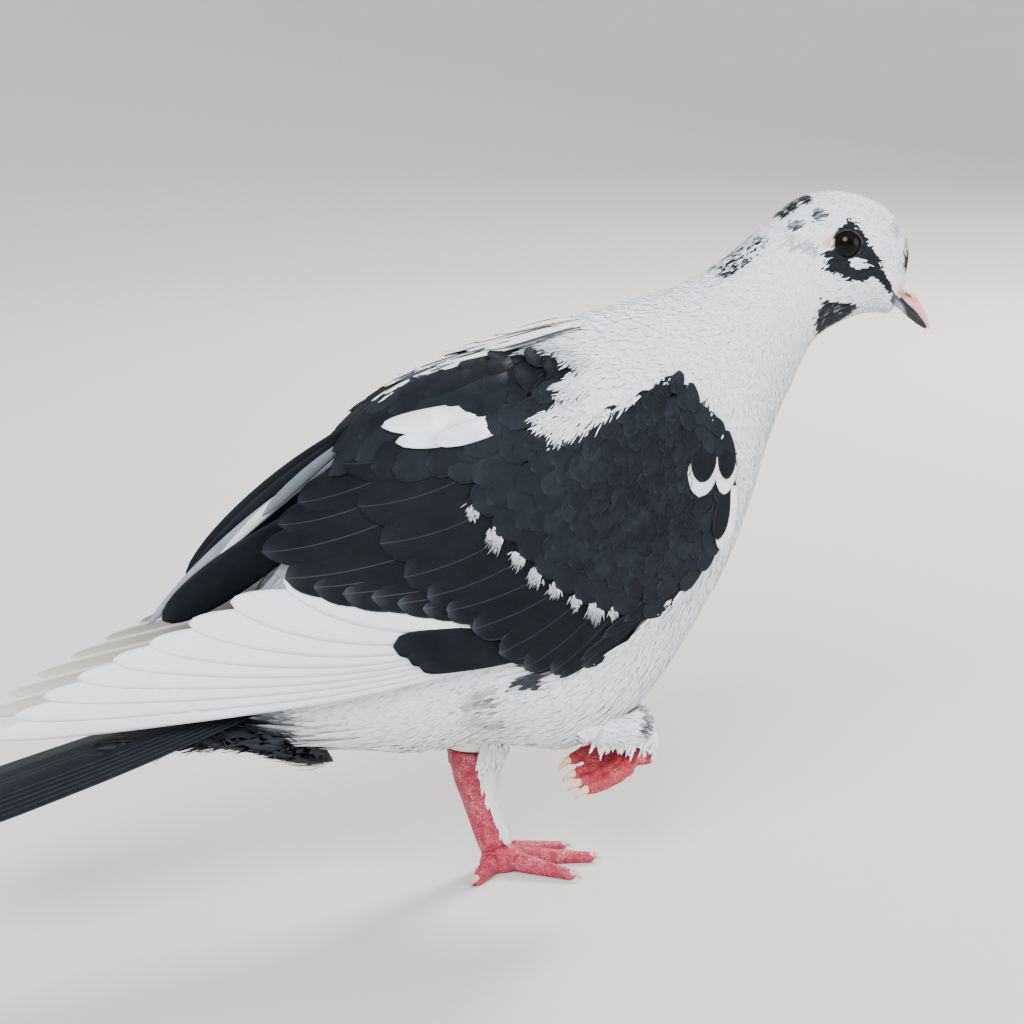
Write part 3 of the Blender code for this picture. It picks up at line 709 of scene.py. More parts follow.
# One vane: its root, three rings of three points and its tip, with their spread, faces, shades and map.
PLUME_STEPS = (0.0, 0.30, 0.62, 0.87, 1.0)
PLUME_SPREAD = (0.0, 0.85, 1.0, 0.70, 0.0)
PLUME_DROP = 0.10
PLUME_ROUND = 0.22
PLUME_TRIS = np.array([(0, 1, 2), (0, 2, 3), (0, 3, 1), (10, 8, 7), (10, 9, 8), (10, 7, 9)])
PLUME_QUADS = np.array([
    (1, 4, 5, 2), (2, 5, 6, 3), (3, 6, 4, 1),
    (4, 7, 8, 5), (5, 8, 9, 6), (6, 9, 7, 4),
])
# each vane is darker at its root and sides: painted shade
PLUME_SHADE = np.array([0.86, 0.93, 0.95, 0.93, 0.98, 1.0, 0.98, 1.0, 1.02, 1.0, 1.02])
PLUME_U = np.array([0, -1, 0, 1, -1, 0, 1, -1, 0, 1, 0]) * 0.0012
PLUME_V = np.array([0, 1, 1, 1, 2, 2, 2, 3, 3, 3, 4]) * 0.00075 - 0.0015
MOST_PLUMES = 10800


def plumes(shell, s, a, long, wide, deep_root, deep_tip, yaw):
    """The points of small closed vanes that lie along a shell, and the way each point is lit."""
    pace_s = np.cos(yaw) / np.maximum(shell.look(shell.step_long, s, a), LEAST_STEP)
    pace_a = np.sin(yaw) / np.maximum(shell.look(shell.step_round, s, a), LEAST_STEP)
    points = []
    facing = []
    for f, spread in zip(PLUME_STEPS, PLUME_SPREAD):
        si = s + pace_s * long * f
        ai = a + pace_a * long * f
        normal = unit(shell.look(shell.normal, si, ai))
        over = np.maximum(si - shell.end, 0.0)
        ahead = shell.look(shell.ahead, si, ai)
        aside = unit(np.cross(normal, ahead))
        deep = deep_root + (deep_tip - deep_root) * f ** 0.8
        centre = shell.look(shell.at, si, ai) + ahead * over[:, None] - normal * deep[:, None]
        if spread == 0.0:
            points.append(centre)
            facing.append(normal)
            continue
        half = (wide * spread / 2.0)[:, None]
        drop = normal * half * PLUME_DROP
        points += [centre - aside * half - drop, centre + normal * half * 0.04, centre + aside * half - drop]
        facing += [unit(normal - aside * PLUME_ROUND), normal, unit(normal + aside * PLUME_ROUND)]
    return np.stack(points, 1), np.stack(facing, 1)


def coat_colours(shell, s, a, long):
    """The plumage's colours near the feathers' tips, or at the roots of those whose tips cross a wing."""
    tip = shell.onward(s, a, 0.78 * long * (1.0 + RNG.normal(0.0, 0.22, len(s))))
    there = shell.look(shell.straight, tip, a)
    here = shell.look(shell.straight, s, a)
    return plumage(np.where(on_wing(*there.T)[:, None], here, there))


def coat_map(shell, s, a):
    """A small patch of the bake map for each vane, at its root's place on the shell's unwrap."""
    low, high = s.min() - 1.0, s.max() + 1.0
    u = 0.02 + 0.96 * np.mod(a, shell.sides) / shell.sides
    v = 0.02 + 0.96 * (s - low) / (high - low)
    return np.stack([u[:, None] + PLUME_U[None], v[:, None] + PLUME_V[None]], -1).reshape(-1, 2)


def coat(name, shell, s, a, long, wide, deep_root, deep_tip, yaw, slot, tint=None, *nodes):
    """Pieces of soft coat, each small enough for one map."""
    order = np.argsort(s, kind="stable")
    groups = np.array_split(order, max(1, math.ceil(len(order) / MOST_PLUMES)))
    each = [s, a, long] + [np.zeros(len(s)) + value for value in (wide, deep_root, deep_tip, yaw)]
    for number, pick in enumerate(groups):
        n = len(pick)
        verts, facing = plumes(shell, *(values[pick] for values in each))
        start = (np.arange(n) * len(PLUME_SHADE))[:, None, None]
        tris = (PLUME_TRIS[None] + start).reshape(-1, 3)
        quads = (PLUME_QUADS[None] + start).reshape(-1, 4)
        label = name if len(groups) == 1 else "%s_%d" % (name, number + 1)
        mesh = build_mesh(label, verts.reshape(-1, 3), [tris, quads])
        colour = coat_colours(shell, s[pick], a[pick], long[pick]) if tint is None else tint[pick]
        colour = colour * RNG.uniform(0.95, 1.02, (n, 1))
        # the shades darken each vane's root and sides: painted shade
        paint(mesh, (colour[:, None, :] * PLUME_SHADE[None, :, None]).reshape(-1, 3))
        slant = unit(facing + RNG.normal(0.0, 0.035, (n, 1, 3)))
        mesh.normals_split_custom_set_from_vertices(slant.reshape(-1, 3).astype(np.float32))
        lay_map(mesh, coat_map(shell, s[pick], a[pick]))
        show(label, mesh, M["coat"], slot, *(nodes if number == 0 else ()))


# ------------------------------------------------------------------ materials

def new_material(name):
    """A new material, its node tree and its shader."""
    material = bpy.data.materials.new(name)
    material.use_nodes = True
    tree = material.node_tree
    return material, tree, tree.nodes["Principled BSDF"]


def add(tree, kind, **values):
    """A new node with its settings."""
    node = tree.nodes.new(kind)
    for key, value in values.items():
        setattr(node, key, value)
    return node


def feed(tree, sockets, values):
    """Set sockets to numbers or colours, or link outputs to them."""
    for socket, value in zip(sockets, values):
        if isinstance(value, bpy.types.NodeSocket):
            tree.links.new(value, socket)
        else:
            socket.default_value = (*value, 1.0) if isinstance(value, tuple) else value


def math_node(tree, operation, *values, clamp=False):
    """A number worked out from numbers or outputs."""
    node = add(tree, "ShaderNodeMath", operation=operation, use_clamp=clamp)
    feed(tree, node.inputs, values)
    return node.outputs[0]


def mix_colour(tree, share, one, two, blend_type="MIX"):
    """One colour drawn towards another by a share."""
    node = add(tree, "ShaderNodeMix", data_type="RGBA", blend_type=blend_type)
    feed(tree, (node.inputs[0], node.inputs[6], node.inputs[7]), (share, one, two))
    return node.outputs[2]


def shaded(tree, colour, shade):
    """A colour multiplied by a number."""
    grey = add(tree, "ShaderNodeCombineColor")
    feed(tree, grey.inputs, (shade, shade, shade))
    return mix_colour(tree, 1.0, colour, grey.outputs[0], "MULTIPLY")


def attribute(tree, name, output="Color"):
    """What a mesh has painted or noted for each point."""
    return add(tree, "ShaderNodeAttribute", attribute_name=name).outputs[output]


def split(tree, vector):
    """The three numbers of a vector."""
    node = add(tree, "ShaderNodeSeparateXYZ")
    feed(tree, node.inputs, (vector,))
    return node.outputs


def noise(tree, scale, detail=3.0):
    """Soft noise in the object's own space."""
    node = add(tree, "ShaderNodeTexNoise")
    where = add(tree, "ShaderNodeTexCoord").outputs["Object"]
    feed(tree, [node.inputs[key] for key in ("Vector", "Scale", "Detail")], (where, scale, detail))
    return node.outputs["Fac"]


def bump(tree, shader, height, strength, distance):
    """Roughen a shader's surface by a height."""
    node = add(tree, "ShaderNodeBump")
    feed(tree, [node.inputs[key] for key in ("Height", "Strength", "Distance")], (height, strength, distance))
    tree.links.new(node.outputs[0], shader.inputs["Normal"])


def set_shader(tree, shader, colour, rough, **more):
    """Link the shader's colour and set its own numbers; a key's underscores stand for spaces."""
    tree.links.new(colour, shader.inputs["Base Color"])
    shader.inputs["Roughness"].default_value = rough
    for key, value in more.items():
        shader.inputs[key.replace("_", " ")].default_value = value


def coat_material(name, rough, sheen):
    """Soft plumage: the painted colour, mottled, with a fine downy bump."""
    material, tree, shader = new_material(name)
    mottle = math_node(tree, "MULTIPLY_ADD", noise(tree, 420.0, 4.0), 0.16, 0.92)
    set_shader(tree, shader, shaded(tree, attribute(tree, "tint"), mottle), rough, Specular_IOR_Level=0.25,
               Sheen_Weight=sheen, Sheen_Roughness=0.5)
    bump(tree, shader, noise(tree, 2600.0, 2.0), 0.25, 0.0002)
    return material


def quill_material(name, rough, rim, barbs, blotch):
    """Firm feathers: the painted colour with a pale rim, a fine shaft line and slanting barbs."""
    material, tree, shader = new_material(name)
    across, along, edge = split(tree, attribute(tree, "vane", "Vector"))
    across_mm, along_mm, shaft = split(tree, attribute(tree, "vane_mm", "Vector"))
    aside = math_node(tree, "ABSOLUTE", across_mm)
    slant = math_node(tree, "ADD", along_mm, math_node(tree, "MULTIPLY", aside, -1.3))
    wobble = math_node(tree, "MULTIPLY", noise(tree, 300.0, 2.0), 2.2)
    wave = math_node(tree, "SINE", math_node(tree, "MULTIPLY", math_node(tree, "ADD", slant, wobble), 9.0))
    streak = math_node(tree, "MULTIPLY_ADD", wave, barbs, 1.0)
    mottle = math_node(tree, "MULTIPLY_ADD", noise(tree, 130.0, 5.0), blotch, 1.0 - blotch / 2.0)
    colour = shaded(tree, attribute(tree, "tint"), math_node(tree, "MULTIPLY", streak, mottle))
    side_rim = math_node(tree, "POWER", math_node(tree, "ABSOLUTE", across), 16.0)
    tip_rim = math_node(tree, "POWER", along, 30.0)
    pale = math_node(tree, "MULTIPLY", math_node(tree, "MAXIMUM", side_rim, tip_rim), edge, clamp=True)
    worn = math_node(tree, "MULTIPLY", noise(tree, 220.0, 2.0), 1.7, clamp=True)
    colour = mix_colour(tree, math_node(tree, "MULTIPLY", pale, worn), colour, rim)
    line = math_node(tree, "MULTIPLY", math_node(tree, "LESS_THAN", aside, 0.14), shaft)
    set_shader(tree, shader, mix_colour(tree, line, colour, rim), rough, Specular_IOR_Level=0.07)
    bump(tree, shader, wave, 0.3, 0.0001)
    return material


def painted_material(name, rough, cells, strength, gloss):
    """Skin or horn in its painted colours, with a fine grain."""
    material, tree, shader = new_material(name)
    grain = math_node(tree, "MULTIPLY_ADD", noise(tree, 700.0, 3.0), 0.5, 0.75)
    set_shader(tree, shader, shaded(tree, attribute(tree, "tint"), grain), rough, Specular_IOR_Level=gloss)
    bump(tree, shader, noise(tree, cells, 2.0), strength, 0.0002)
    return material


def skin_material(name, colour, dark, pale, scale, strength, rough):
    """Scaly skin: small pale cells with darker grooves, flushed and bruised in patches."""
    material, tree, shader = new_material(name)
    cells = add(tree, "ShaderNodeTexVoronoi", feature="DISTANCE_TO_EDGE")
    cells.inputs["Scale"].default_value = scale
    tree.links.new(add(tree, "ShaderNodeTexCoord").outputs["Object"], cells.inputs["Vector"])
    groove = math_node(tree, "MULTIPLY", cells.outputs["Distance"], 3.6, clamp=True)
    flush = math_node(tree, "MULTIPLY_ADD", noise(tree, 150.0, 3.0), 3.2, -1.55, clamp=True)
    bruise = math_node(tree, "MULTIPLY_ADD", noise(tree, 420.0, 4.0), 6.0, -2.7, clamp=True)
    tone = mix_colour(tree, flush, colour, pale)
    tone = mix_colour(tree, math_node(tree, "MULTIPLY", bruise, 0.85), tone, dark)
    tone = mix_colour(tree, groove, dark, tone)
    tone = mix_colour(tree, 1.0, tone, attribute(tree, "tint"), "MULTIPLY")
    set_shader(tree, shader, tone, rough, Specular_IOR_Level=0.3, Subsurface_Weight=0.08,
               Subsurface_Radius=(0.0012, 0.0005, 0.0003), Subsurface_Scale=1.0)
    bump(tree, shader, groove, strength, 0.0003)
    return material


def eye_material():
    """The dark, wet eye."""
    material, tree, shader = new_material("eye")
    set_shader(tree, shader, attribute(tree, "tint"), 0.12, IOR=1.22)
    return material


M = {
    "coat": coat_material("soft_coat", 0.85, 0.05),
    "dark": quill_material("dark_quills", 0.62, (0.060, 0.068, 0.080), 0.10, 1.0),
    "light": quill_material("white_quills", 0.7, (0.60, 0.63, 0.68), 0.02, 0.06),
    "skin": coat_material("skin_under_coat", 0.9, 0.1),
    "foot": skin_material("foot_skin", (0.60, 0.065, 0.105), (0.26, 0.018, 0.040), (0.78, 0.27, 0.30), 1250.0,
                          0.4, 0.5),
    "lid": painted_material("lid_skin", 0.6, 2400.0, 0.4, 0.3),
    "cere": painted_material("cere_skin", 0.65, 1500.0, 0.3, 0.3),
    "bill": painted_material("bill_horn", 0.42, 900.0, 0.12, 0.4),
    "claw": painted_material("claw_horn", 0.4, 900.0, 0.12, 0.4),
    "eye": eye_material(),
}


# ------------------------------------------------------------------ the skin and the soft coat

BODY_NODES = ("head", "neck", "trunk", "wing_shield_left", "wing_shield_right")

body = Shell(BODY_AXIS, BODY_NODES + ("eye_left", "eye_right"), 1.1, 144, 75.0, 3)
shank = Shell(LEFT_SHANK_AXIS, ("shank_left",), 1.0, 40, 30.0, 2)
tarsus = Shell(LEFT_TARSUS_AXIS, ("tarsus_left",), 0.9, 36, 20.0, 2)
lifted = Shell(RIGHT_LEG_AXIS, ("shank_right", "tarsus_right"), 0.9, 40, 20.0, 2)
undertail = Shell(UNDERTAIL_AXIS, ("undertail",), 1.0, 40, 30.0, 2)


SKIN_SHARE = 0.6
ROOT_SHARE = 0.42


def coat_depth(run):
    """How deep the coat is at a distance back from the bill."""
    return np.interp(run, (0.0, 12.0, 40.0, 90.0, 140.0), (0.25, 0.5, 1.0, 2.0, 2.6))


def skin_grid(shell, depth):
    """A shell drawn in by the coat's depth and closed at its ends: points and faces."""
    grid = shell.at - shell.normal * depth[:, None, None]
    ends = np.stack([grid[0].mean(0), grid[-1].mean(0)])
    quads, caps = tube_faces(shell.stations, shell.sides)
    return np.concatenate([grid.reshape(-1, 3), ends]), quads[:, (0, 3, 2, 1)], caps[:, (1, 0, 2)]


def make_skin():
    """The body, shanks, lifted leg and under-tail under their feathers, as one piece."""
    verts, quads, tris, tones = [], [], [], []
    start = 0
    for shell, depth in (
        (body, coat_depth(body.run) * SKIN_SHARE), (shank, np.full(shank.stations, 0.8)),
        (lifted, np.full(lifted.stations, 0.5)), (undertail, np.full(undertail.stations, 0.7)),
    ):
        points, four, three = skin_grid(shell, depth)
        verts.append(points)
        quads.append(four + start)
        tris.append(three + start)
        start += len(points)
        straight = straighten(points)
        dark = np.tile(SLATE * 0.10, (len(points), 1))
        tones.append(dark if shell is undertail else bare_tones(straight, plumage(straight) * 0.95))
    mesh = build_mesh("skin", np.concatenate(verts), [np.concatenate(tris), np.concatenate(quads)])
    paint(mesh, np.concatenate(tones))
    show("skin", mesh, M["skin"], "white_feather", "head", "neck", "trunk", "shank_left", "shank_right",
         "tarsus_right", "wing_shield_left", "wing_shield_right")


def body_coat():
    """The soft feathers of the head, neck, breast, back, belly and vent."""
    run = np.broadcast_to(body.run[:, None], body.area.shape)
    dense = np.interp(run, (0.0, 30.0, 60.0, 100.0, 150.0), (4.4, 3.0, 1.6, 0.95, 0.75))
    dense = dense * ~on_wing(*np.moveaxis(body.straight, -1, 0))
    dense[-3:] = 0.0
    s, a = scatter(body, dense)
    n = len(s)
    where = body.look(body.straight, s, a)
    x, y, z = where.T
    back = np.interp(s, np.arange(body.stations), body.run)
    belly = ease(70.0, 48.0, z) * ease(20.0, -6.0, x)
    long = np.interp(back, (0.0, 22.0, 50.0, 90.0, 130.0, 260.0), (1.3, 2.4, 4.2, 7.5, 10.0, 12.0))
    long = long * (1.0 + 0.25 * belly) * RNG.uniform(0.8, 1.2, n)
    wide = long * np.interp(back, (0.0, 60.0, 140.0), (0.28, 0.23, 0.17)) * RNG.uniform(0.85, 1.15, n)
    depth = coat_depth(back)
    swirl = 0.08 * ripple(x, y, z, 12.0, 1.0) + RNG.normal(0.0, 0.07, n)
    there = body.look(body.straight, body.onward(s, a, 0.8 * long), a).T
    over = on_wing(*there)
    lift = np.interp(back, (0.0, 30.0, 90.0), (0.03, 0.06, 0.10)) + 0.2 * over * (there[2] > 135.0)
    wide = np.where(over, wide * 0.5, wide)
    deep_tip = -lift - depth * RNG.uniform(-0.05, 0.07, n) - 0.5 * belly * RNG.uniform(-0.3, 1.0, n)
    vent = ease(-36.0, -50.0, x) * ease(62.0, 53.0, z)
    long = long * (1.0 + 0.8 * vent)
    deep_tip = deep_tip - 4.5 * vent * RNG.random(n)
    beyond = body.look(body.straight, body.onward(s, a, 1.1 * long), a).T
    hidden = (x < 4.0) & (z > 120.0) & (np.abs(y) > 9.0)
    hidden |= over & (there[0] > 29.0) & (there[2] < 153.5)
    hidden |= (over | on_wing(*beyond)) & (there[2] < 110.0)
    keep = clear_of_eyes(where, long) & (back > 0.4) & ~hidden & ~inside(BILL_BASE, x, z)
    root = depth * ROOT_SHARE
    coat("coat", body, *(v[keep] for v in (s, a, long, wide, root, deep_tip, swirl)), "white_feather")


def clear_of_eyes(where, long):
    """Feathers whose root and tip keep off the eyes' openings."""
    x, y, z = where.T
    beside = np.abs(y) > 6.0
    root = np.hypot(x - EYE_AT[0], z - EYE_AT[2])
    tip = np.hypot(x - long * 0.98 - EYE_AT[0], z - EYE_AT[2])
    return ~(beside & ((root < EYE_OPENING + 0.5) | (tip < EYE_OPENING)))


def leg_coats():
    """Short feathers down the shanks, over the lifted leg and down the front of the standing one."""
    for name, shell, dense, size, low, high in (
        ("shank_coat", shank, 1.8, 6.0, 0.5, 1.0),
        ("tarsus_coat", tarsus, 3.8, 3.8, -0.55, 0.7),
        ("lifted_coat", lifted, 2.4, 5.0, -0.1, 1.1),
    ):
        turn = np.arange(shell.sides) * 2.0 * math.pi / shell.sides
        down = np.linspace(0.0, 1.0, shell.stations)[:, None]
        front = np.cos(turn - 0.35)[None]
        share = np.ones(shell.area.shape)
        if shell is tarsus:
            share = (front > -0.65 + 0.88 * down) * (down < 0.94) * 1.0
        if shell is shank:
            share = ((front > -0.6) | (down < 0.3)) * 1.0
        s, a = scatter(shell, dense * share)
        n = len(s)
        long = size * RNG.uniform(0.45, 1.3, n)
        if shell is lifted:
            room = (shell.stations - 2.0 - s) * shell.long / shell.stations
            long = np.minimum(long, np.maximum(room, 0.8))
        tint = plumage(shell.look(shell.straight, s, a))
        coat(name, shell, s, a, long, np.maximum(long, 3.0) * 0.17, low, -RNG.uniform(0.3, 1.0, n) * high,
             RNG.normal(0.0, 0.14, n), "white_feather", tint)


def leg_fringe():
    """Loose barbs that hang from the lifted leg over its toes."""
    n = 64
    x = RNG.uniform(19.0, 39.0, n)
    z = np.interp(x, (19.0, 37.0, 40.0), (50.0, 46.0, 47.4)) + RNG.uniform(-1.4, 2.0, n)
    k = feathers(x, z, -math.pi / 2.0 - 0.35 + RNG.normal(0.0, 0.45, n), RNG.uniform(2.6, 7.4, n),
                 RNG.uniform(0.6, 1.5, n), curve=RNG.normal(0.0, 0.3, n), deep_root=RNG.uniform(0.0, 2.4, n),
                 deep_tip=RNG.uniform(-0.6, 2.0, n), cup=0.0, blunt=1.4, edge=0.0, frill=0.0,
                 tint=WHITE * RNG.uniform(0.9, 1.03, (n, 1)))
    quills("leg_fringe", side_chart(-20.6), k, 3, 5, M["light"], "white_feather")


def undertail_coat():
    """Loose dark feathers under the tail's root."""
    s, a = scatter(undertail, np.full(undertail.area.shape, 1.7))
    n = len(s)
    long = 12.0 * RNG.uniform(0.6, 1.6, n)
    tint = SLATE * 0.09 * RNG.uniform(0.5, 1.8, (n, 1))
    coat("undertail_coat", undertail, s, a, long, long * RNG.uniform(0.07, 0.12, n), 0.6,
         -RNG.uniform(-0.1, 1.0, n) ** 2 * 3.4, RNG.normal(0.0, 0.26, n), "tail_feather", tint, "undertail")


def dark_down():
    """Fine dark barbs over the small coverts, which soften their rims."""
    x, y, z = np.moveaxis(body.straight, -1, 0)
    dense = 0.30 * on_wing(x, y, z) * ease(-14.0, 16.0, x) * ease(44.0, 38.0, x) * ease(100.0, 124.0, z)
    s, a = scatter(body, dense)
    x, y, z = body.look(body.straight, s, a).T
    n = len(s)
    long = RNG.uniform(1.8, 3.6, n)
    yaw = np.where(y > 0.0, 1.0, -1.0) * np.interp(z, (90.0, 150.0), (0.1, 0.35)) + RNG.normal(0.0, 0.12, n)
    tint = BLACK * RNG.uniform(0.7, 1.6, (n, 1))
    coat("dark_down", body, s, a, long, RNG.uniform(0.28, 0.5, n), -0.1, -0.75, yaw, "dark_feather", tint)


def mantle_fringe():
    """Fine white barbs that reach from the mantle over the dark shoulder."""
    x, y, z = np.moveaxis(body.straight, -1, 0)
    near = (z > 136.0) * (x < 37.0) * inside(MANTLE, x, z) * (np.abs(y) > 12.0)
    s, a = scatter(body, 5.0 * ~on_wing(x, y, z) * near)
    long = RNG.uniform(3.5, 8.0, len(s))
    root = body.look(body.straight, s, a).T
    there = body.look(body.straight, body.onward(s, a, 0.85 * long), a).T
    pick = on_wing(*there) & ~on_wing(*root)
    n = np.count_nonzero(pick)
    wide = RNG.uniform(0.26, 0.5, n)
    deep_tip = -RNG.uniform(0.5, 1.1, n)
    yaw = RNG.normal(0.0, 0.16, n)
    tint = WHITE * RNG.uniform(0.94, 1.03, (n, 1))
    coat("mantle_fringe", body, s[pick], a[pick], long[pick], wide, 0.5, deep_tip, yaw, "white_feather", tint)


# ------------------------------------------------------------------ where the wing's feathers lie

# Greater coverts from the top down: their tips, where they come out, and how strong each one's downy spot is.
GREATER_TIPS = (
    (-54.5, 133.5), (-52.0, 124.0), (-48.0, 115.0), (-42.7, 106.3), (-37.0, 101.0), (-32.0, 97.0),
    (-25.2, 91.6), (-17.4, 83.8), (-9.6, 78.4), (-1.6, 76.0), (8.0, 76.6),
)
GREATER_BASES = (
    (-33.0, 141.5), (-29.5, 132.0), (-24.3, 123.5), (-19.0, 116.8), (-13.2, 111.2), (-8.3, 105.9),
    (-3.0, 101.5), (3.3, 97.6), (9.5, 94.4), (15.0, 92.6), (20.5, 90.6),
)
SPOT_STRENGTHS = (0.0, 0.0, 0.35, 0.90, 0.70, 0.75, 0.50, 0.45, 1.0, 0.30, 0.0)

# Tips of the secondaries and tertials, with the feathers' slopes in degrees, and a line of primaries' tips.
FLIGHT_TIPS = (
    (-65.0, 123.6, 28.0), (-70.5, 117.6, 25.0), (-75.6, 110.8, 22.0), (-71.5, 105.2, 16.0),
    (-65.0, 103.4, 14.0), (-58.0, 102.0, 13.0), (-51.0, 101.2, 13.0), (-44.5, 99.4, 14.0),
    (-38.0, 97.8, 16.0), (-31.5, 95.6, 22.0), (-25.5, 92.0, 30.0), (-17.0, 83.4, 36.0), (-9.0, 77.6, 38.0),
)
PRIMARY_TIPS = (
    (-72.0, 104.6), (-87.5, 97.4), (-103.7, 89.2), (-119.9, 82.4), (-136.2, 74.6), (-150.2, 65.2),
)

# Where the small coverts' tips may lie, and the wing's front and lower edge.
COVERT_AREA = (
    (-33.0, 140.0), (-26.0, 147.0), (-5.0, 152.0), (8.0, 156.0), (15.0, 160.0), (34.0, 154.0),
    (44.0, 149.0), (49.0, 143.0), (54.2, 131.0), (51.6, 114.5), (43.5, 101.2), (28.0, 89.0), (22.0, 88.2),
    (15.0, 91.6), (9.5, 93.6), (3.3, 96.9), (-3.0, 101.5), (-8.3, 105.9), (-13.2, 111.2), (-19.0, 116.8),
    (-24.3, 123.5), (-29.5, 131.0),
)
WING_EDGE = (
    (45.6, 148.0), (50.8, 139.6), (54.0, 130.5), (52.8, 118.0), (48.8, 107.6), (43.0, 99.8), (35.5, 94.2),
    (27.5, 87.5), (20.5, 81.6), (13.4, 76.8), (5.0, 75.6), (-1.9, 75.0), (-11.4, 76.0),
)


def distances(x, z, line):
    """Distances of places from each point of a line."""
    return np.hypot(x[:, None] - line[None, :, 0], z[:, None] - line[None, :, 1])


def edge_lie(x, z):
    """How far a place is from the wing's front and lower edge, and the edge's slope there."""
    line = spline(WING_EDGE, np.linspace(0.0, len(WING_EDGE) - 1.0, 90))
    ahead = np.gradient(line, axis=0)
    apart = distances(x, z, line)
    near = apart.argmin(1)
    return apart[np.arange(len(x)), near], np.arctan2(-ahead[near, 1], -ahead[near, 0])


def lie(x, z):
    """Direction of the wing's feathers, in radians below straight back."""
    below = (hull_at(x)[0] - z) / 80.0
    ridge = np.interp(x, (-60.0, -40.0, -20.0, 0.0, 20.0, 50.0), (0.78, 0.52, 0.36, 0.26, 0.22, 0.8))
    general = ridge + (math.radians(37.0) - ridge) * ease(0.12, 0.36, below)
    general = general + math.radians(24.0) * ease(34.0, 54.0, x)
    apart, slope = edge_lie(x, z)
    return slope + (general - slope) * ease(0.5, 11.0, apart)


# where the coverts' rows start, how they tilt, and how far they reach back and across
LATTICE_AT = (62.0, 140.0)
LATTICE_TILT = math.radians(38.0)
LATTICE_LONG = (-14.0, 112.0)
LATTICE_WIDE = (-80.0, 100.0)


def covert_lattice():
    """Roots of the small and middle coverts, in rows that run down and forwards, growing rearwards."""
    c, s = math.cos(LATTICE_TILT), math.sin(LATTICE_TILT)
    found = []
    reach = LATTICE_LONG[0]
    row = 0
    while reach < LATTICE_LONG[1]:
        gap = np.interp(reach, (0.0, 30.0, 70.0, 100.0), (3.0, 3.8, 6.8, 8.2))
        aside = LATTICE_WIDE[0] + (0.5 * gap if row % 2 else 0.0)
        while aside < LATTICE_WIDE[1]:
            x = LATTICE_AT[0] - c * reach + s * aside
            z = LATTICE_AT[1] - s * reach - c * aside
            found.append((x, z, gap))
            aside += gap * 1.12
        reach += gap * 0.86
        row += 1
    return np.array(found)


def feathers(a, b, aim, long, wide, **more):
    """Feathers for `quills`, as a dict of arrays with one value for each.

    a and b are the root's place on the chart, and aim is the direction there in radians. more may give curve
    (the turn over its length), deep_root, deep_tip, cup, blunt, tint, edge (how pale the rim is), shaft (how
    pale the shaft is), frill (how ragged the tip is) and fade (how much it darkens to the tip).
    """
    n = len(a)
    k = {"a": a, "b": b, "aim": aim, "long": long, "wide": wide}
    usual = {"curve": 0.0, "deep_root": 1.0, "deep_tip": -0.2, "cup": 0.3, "blunt": 2.6, "edge": 0.3,
             "shaft": 0.0, "frill": 0.1, "fade": 0.0}
    for key, value in usual.items():
        k[key] = np.zeros(n) + more.get(key, value)
    tint = np.asarray(more.get("tint", BLACK), float)
    k["tint"] = np.broadcast_to(tint, (n, 3)) if tint.ndim == 1 else tint
    return k


def joined(lots):
    """Several lots of feathers as one."""
    return {key: np.concatenate([lot[key] for lot in lots]) for key in lots[0]}


def reversed_row(k):
    """The same feathers from the other end of their row."""
    return {key: value[::-1] for key, value in k.items()}


def from_tips(tips, slope, long, bend):
    """Roots and first directions of curved feathers on the wing from their tips and mean slopes."""
    root = tips + np.stack([np.cos(slope), np.sin(slope)], -1) * np.asarray(long)[:, None] * 0.985
    return root, math.pi + slope + bend / 2.0


def aimed(step):
    """Directions and lengths of steps on a chart."""
    return np.arctan2(step[:, 1], step[:, 0]) % (2.0 * math.pi), np.linalg.norm(step, axis=1)


# ------------------------------------------------------------------ the wings

def small_coverts():
    """The small and middle coverts."""
    x, z, gap = covert_lattice().T
    x = x + RNG.normal(0.0, 0.12, len(x)) * gap
    z = z + RNG.normal(0.0, 0.12, len(x)) * gap
    slope = lie(x, z) + RNG.normal(0.0, 0.06, len(x))
    long = gap * 2.3 * RNG.uniform(0.85, 1.15, len(x))
    tip_x = x - np.cos(slope) * long * 0.95
    tip_z = z - np.sin(slope) * long * 0.92
    half_x = x - 0.5 * np.cos(slope) * long
    half_z = z - 0.5 * np.sin(slope) * long
    bases = spline(GREATER_BASES, np.linspace(0.0, len(GREATER_BASES) - 1.0, 80))
    keep = inside(COVERT_AREA, tip_x, tip_z) & (distances(tip_x, tip_z, bases).min(1) > 5.0)
    for dx, dz in ((-1.2, -1.0), (1.2, -1.0), (0.0, 1.4)):
        keep &= ~inside(MANTLE, tip_x + dx, tip_z + dz)
    keep &= inside(COVERT_AREA, x, z) | (x > 30.0) & inside(SHIELD_OUTLINE, half_x, half_z)
    under = inside(MANTLE, half_x, half_z) * 1.0
    x, z, gap, slope, long, under = (v[keep] for v in (x, z, gap, slope, long, under))
    n = len(x)
    shade = RNG.uniform(0.9, 1.4, n)[:, None]
    return feathers(x, z, math.pi + slope, long, gap * RNG.uniform(1.35, 1.75, n),
                    curve=RNG.normal(0.0, 0.12, n), deep_root=0.55 + 3.0 * under,
                    deep_tip=-0.05 - gap * 0.025 + 0.1 * under, cup=gap * 0.04,
                    blunt=RNG.uniform(2.2, 3.2, n), tint=BLACK * 1.7 * shade,
                    edge=RNG.uniform(0.15, 0.65, n), frill=0.05 * gap)


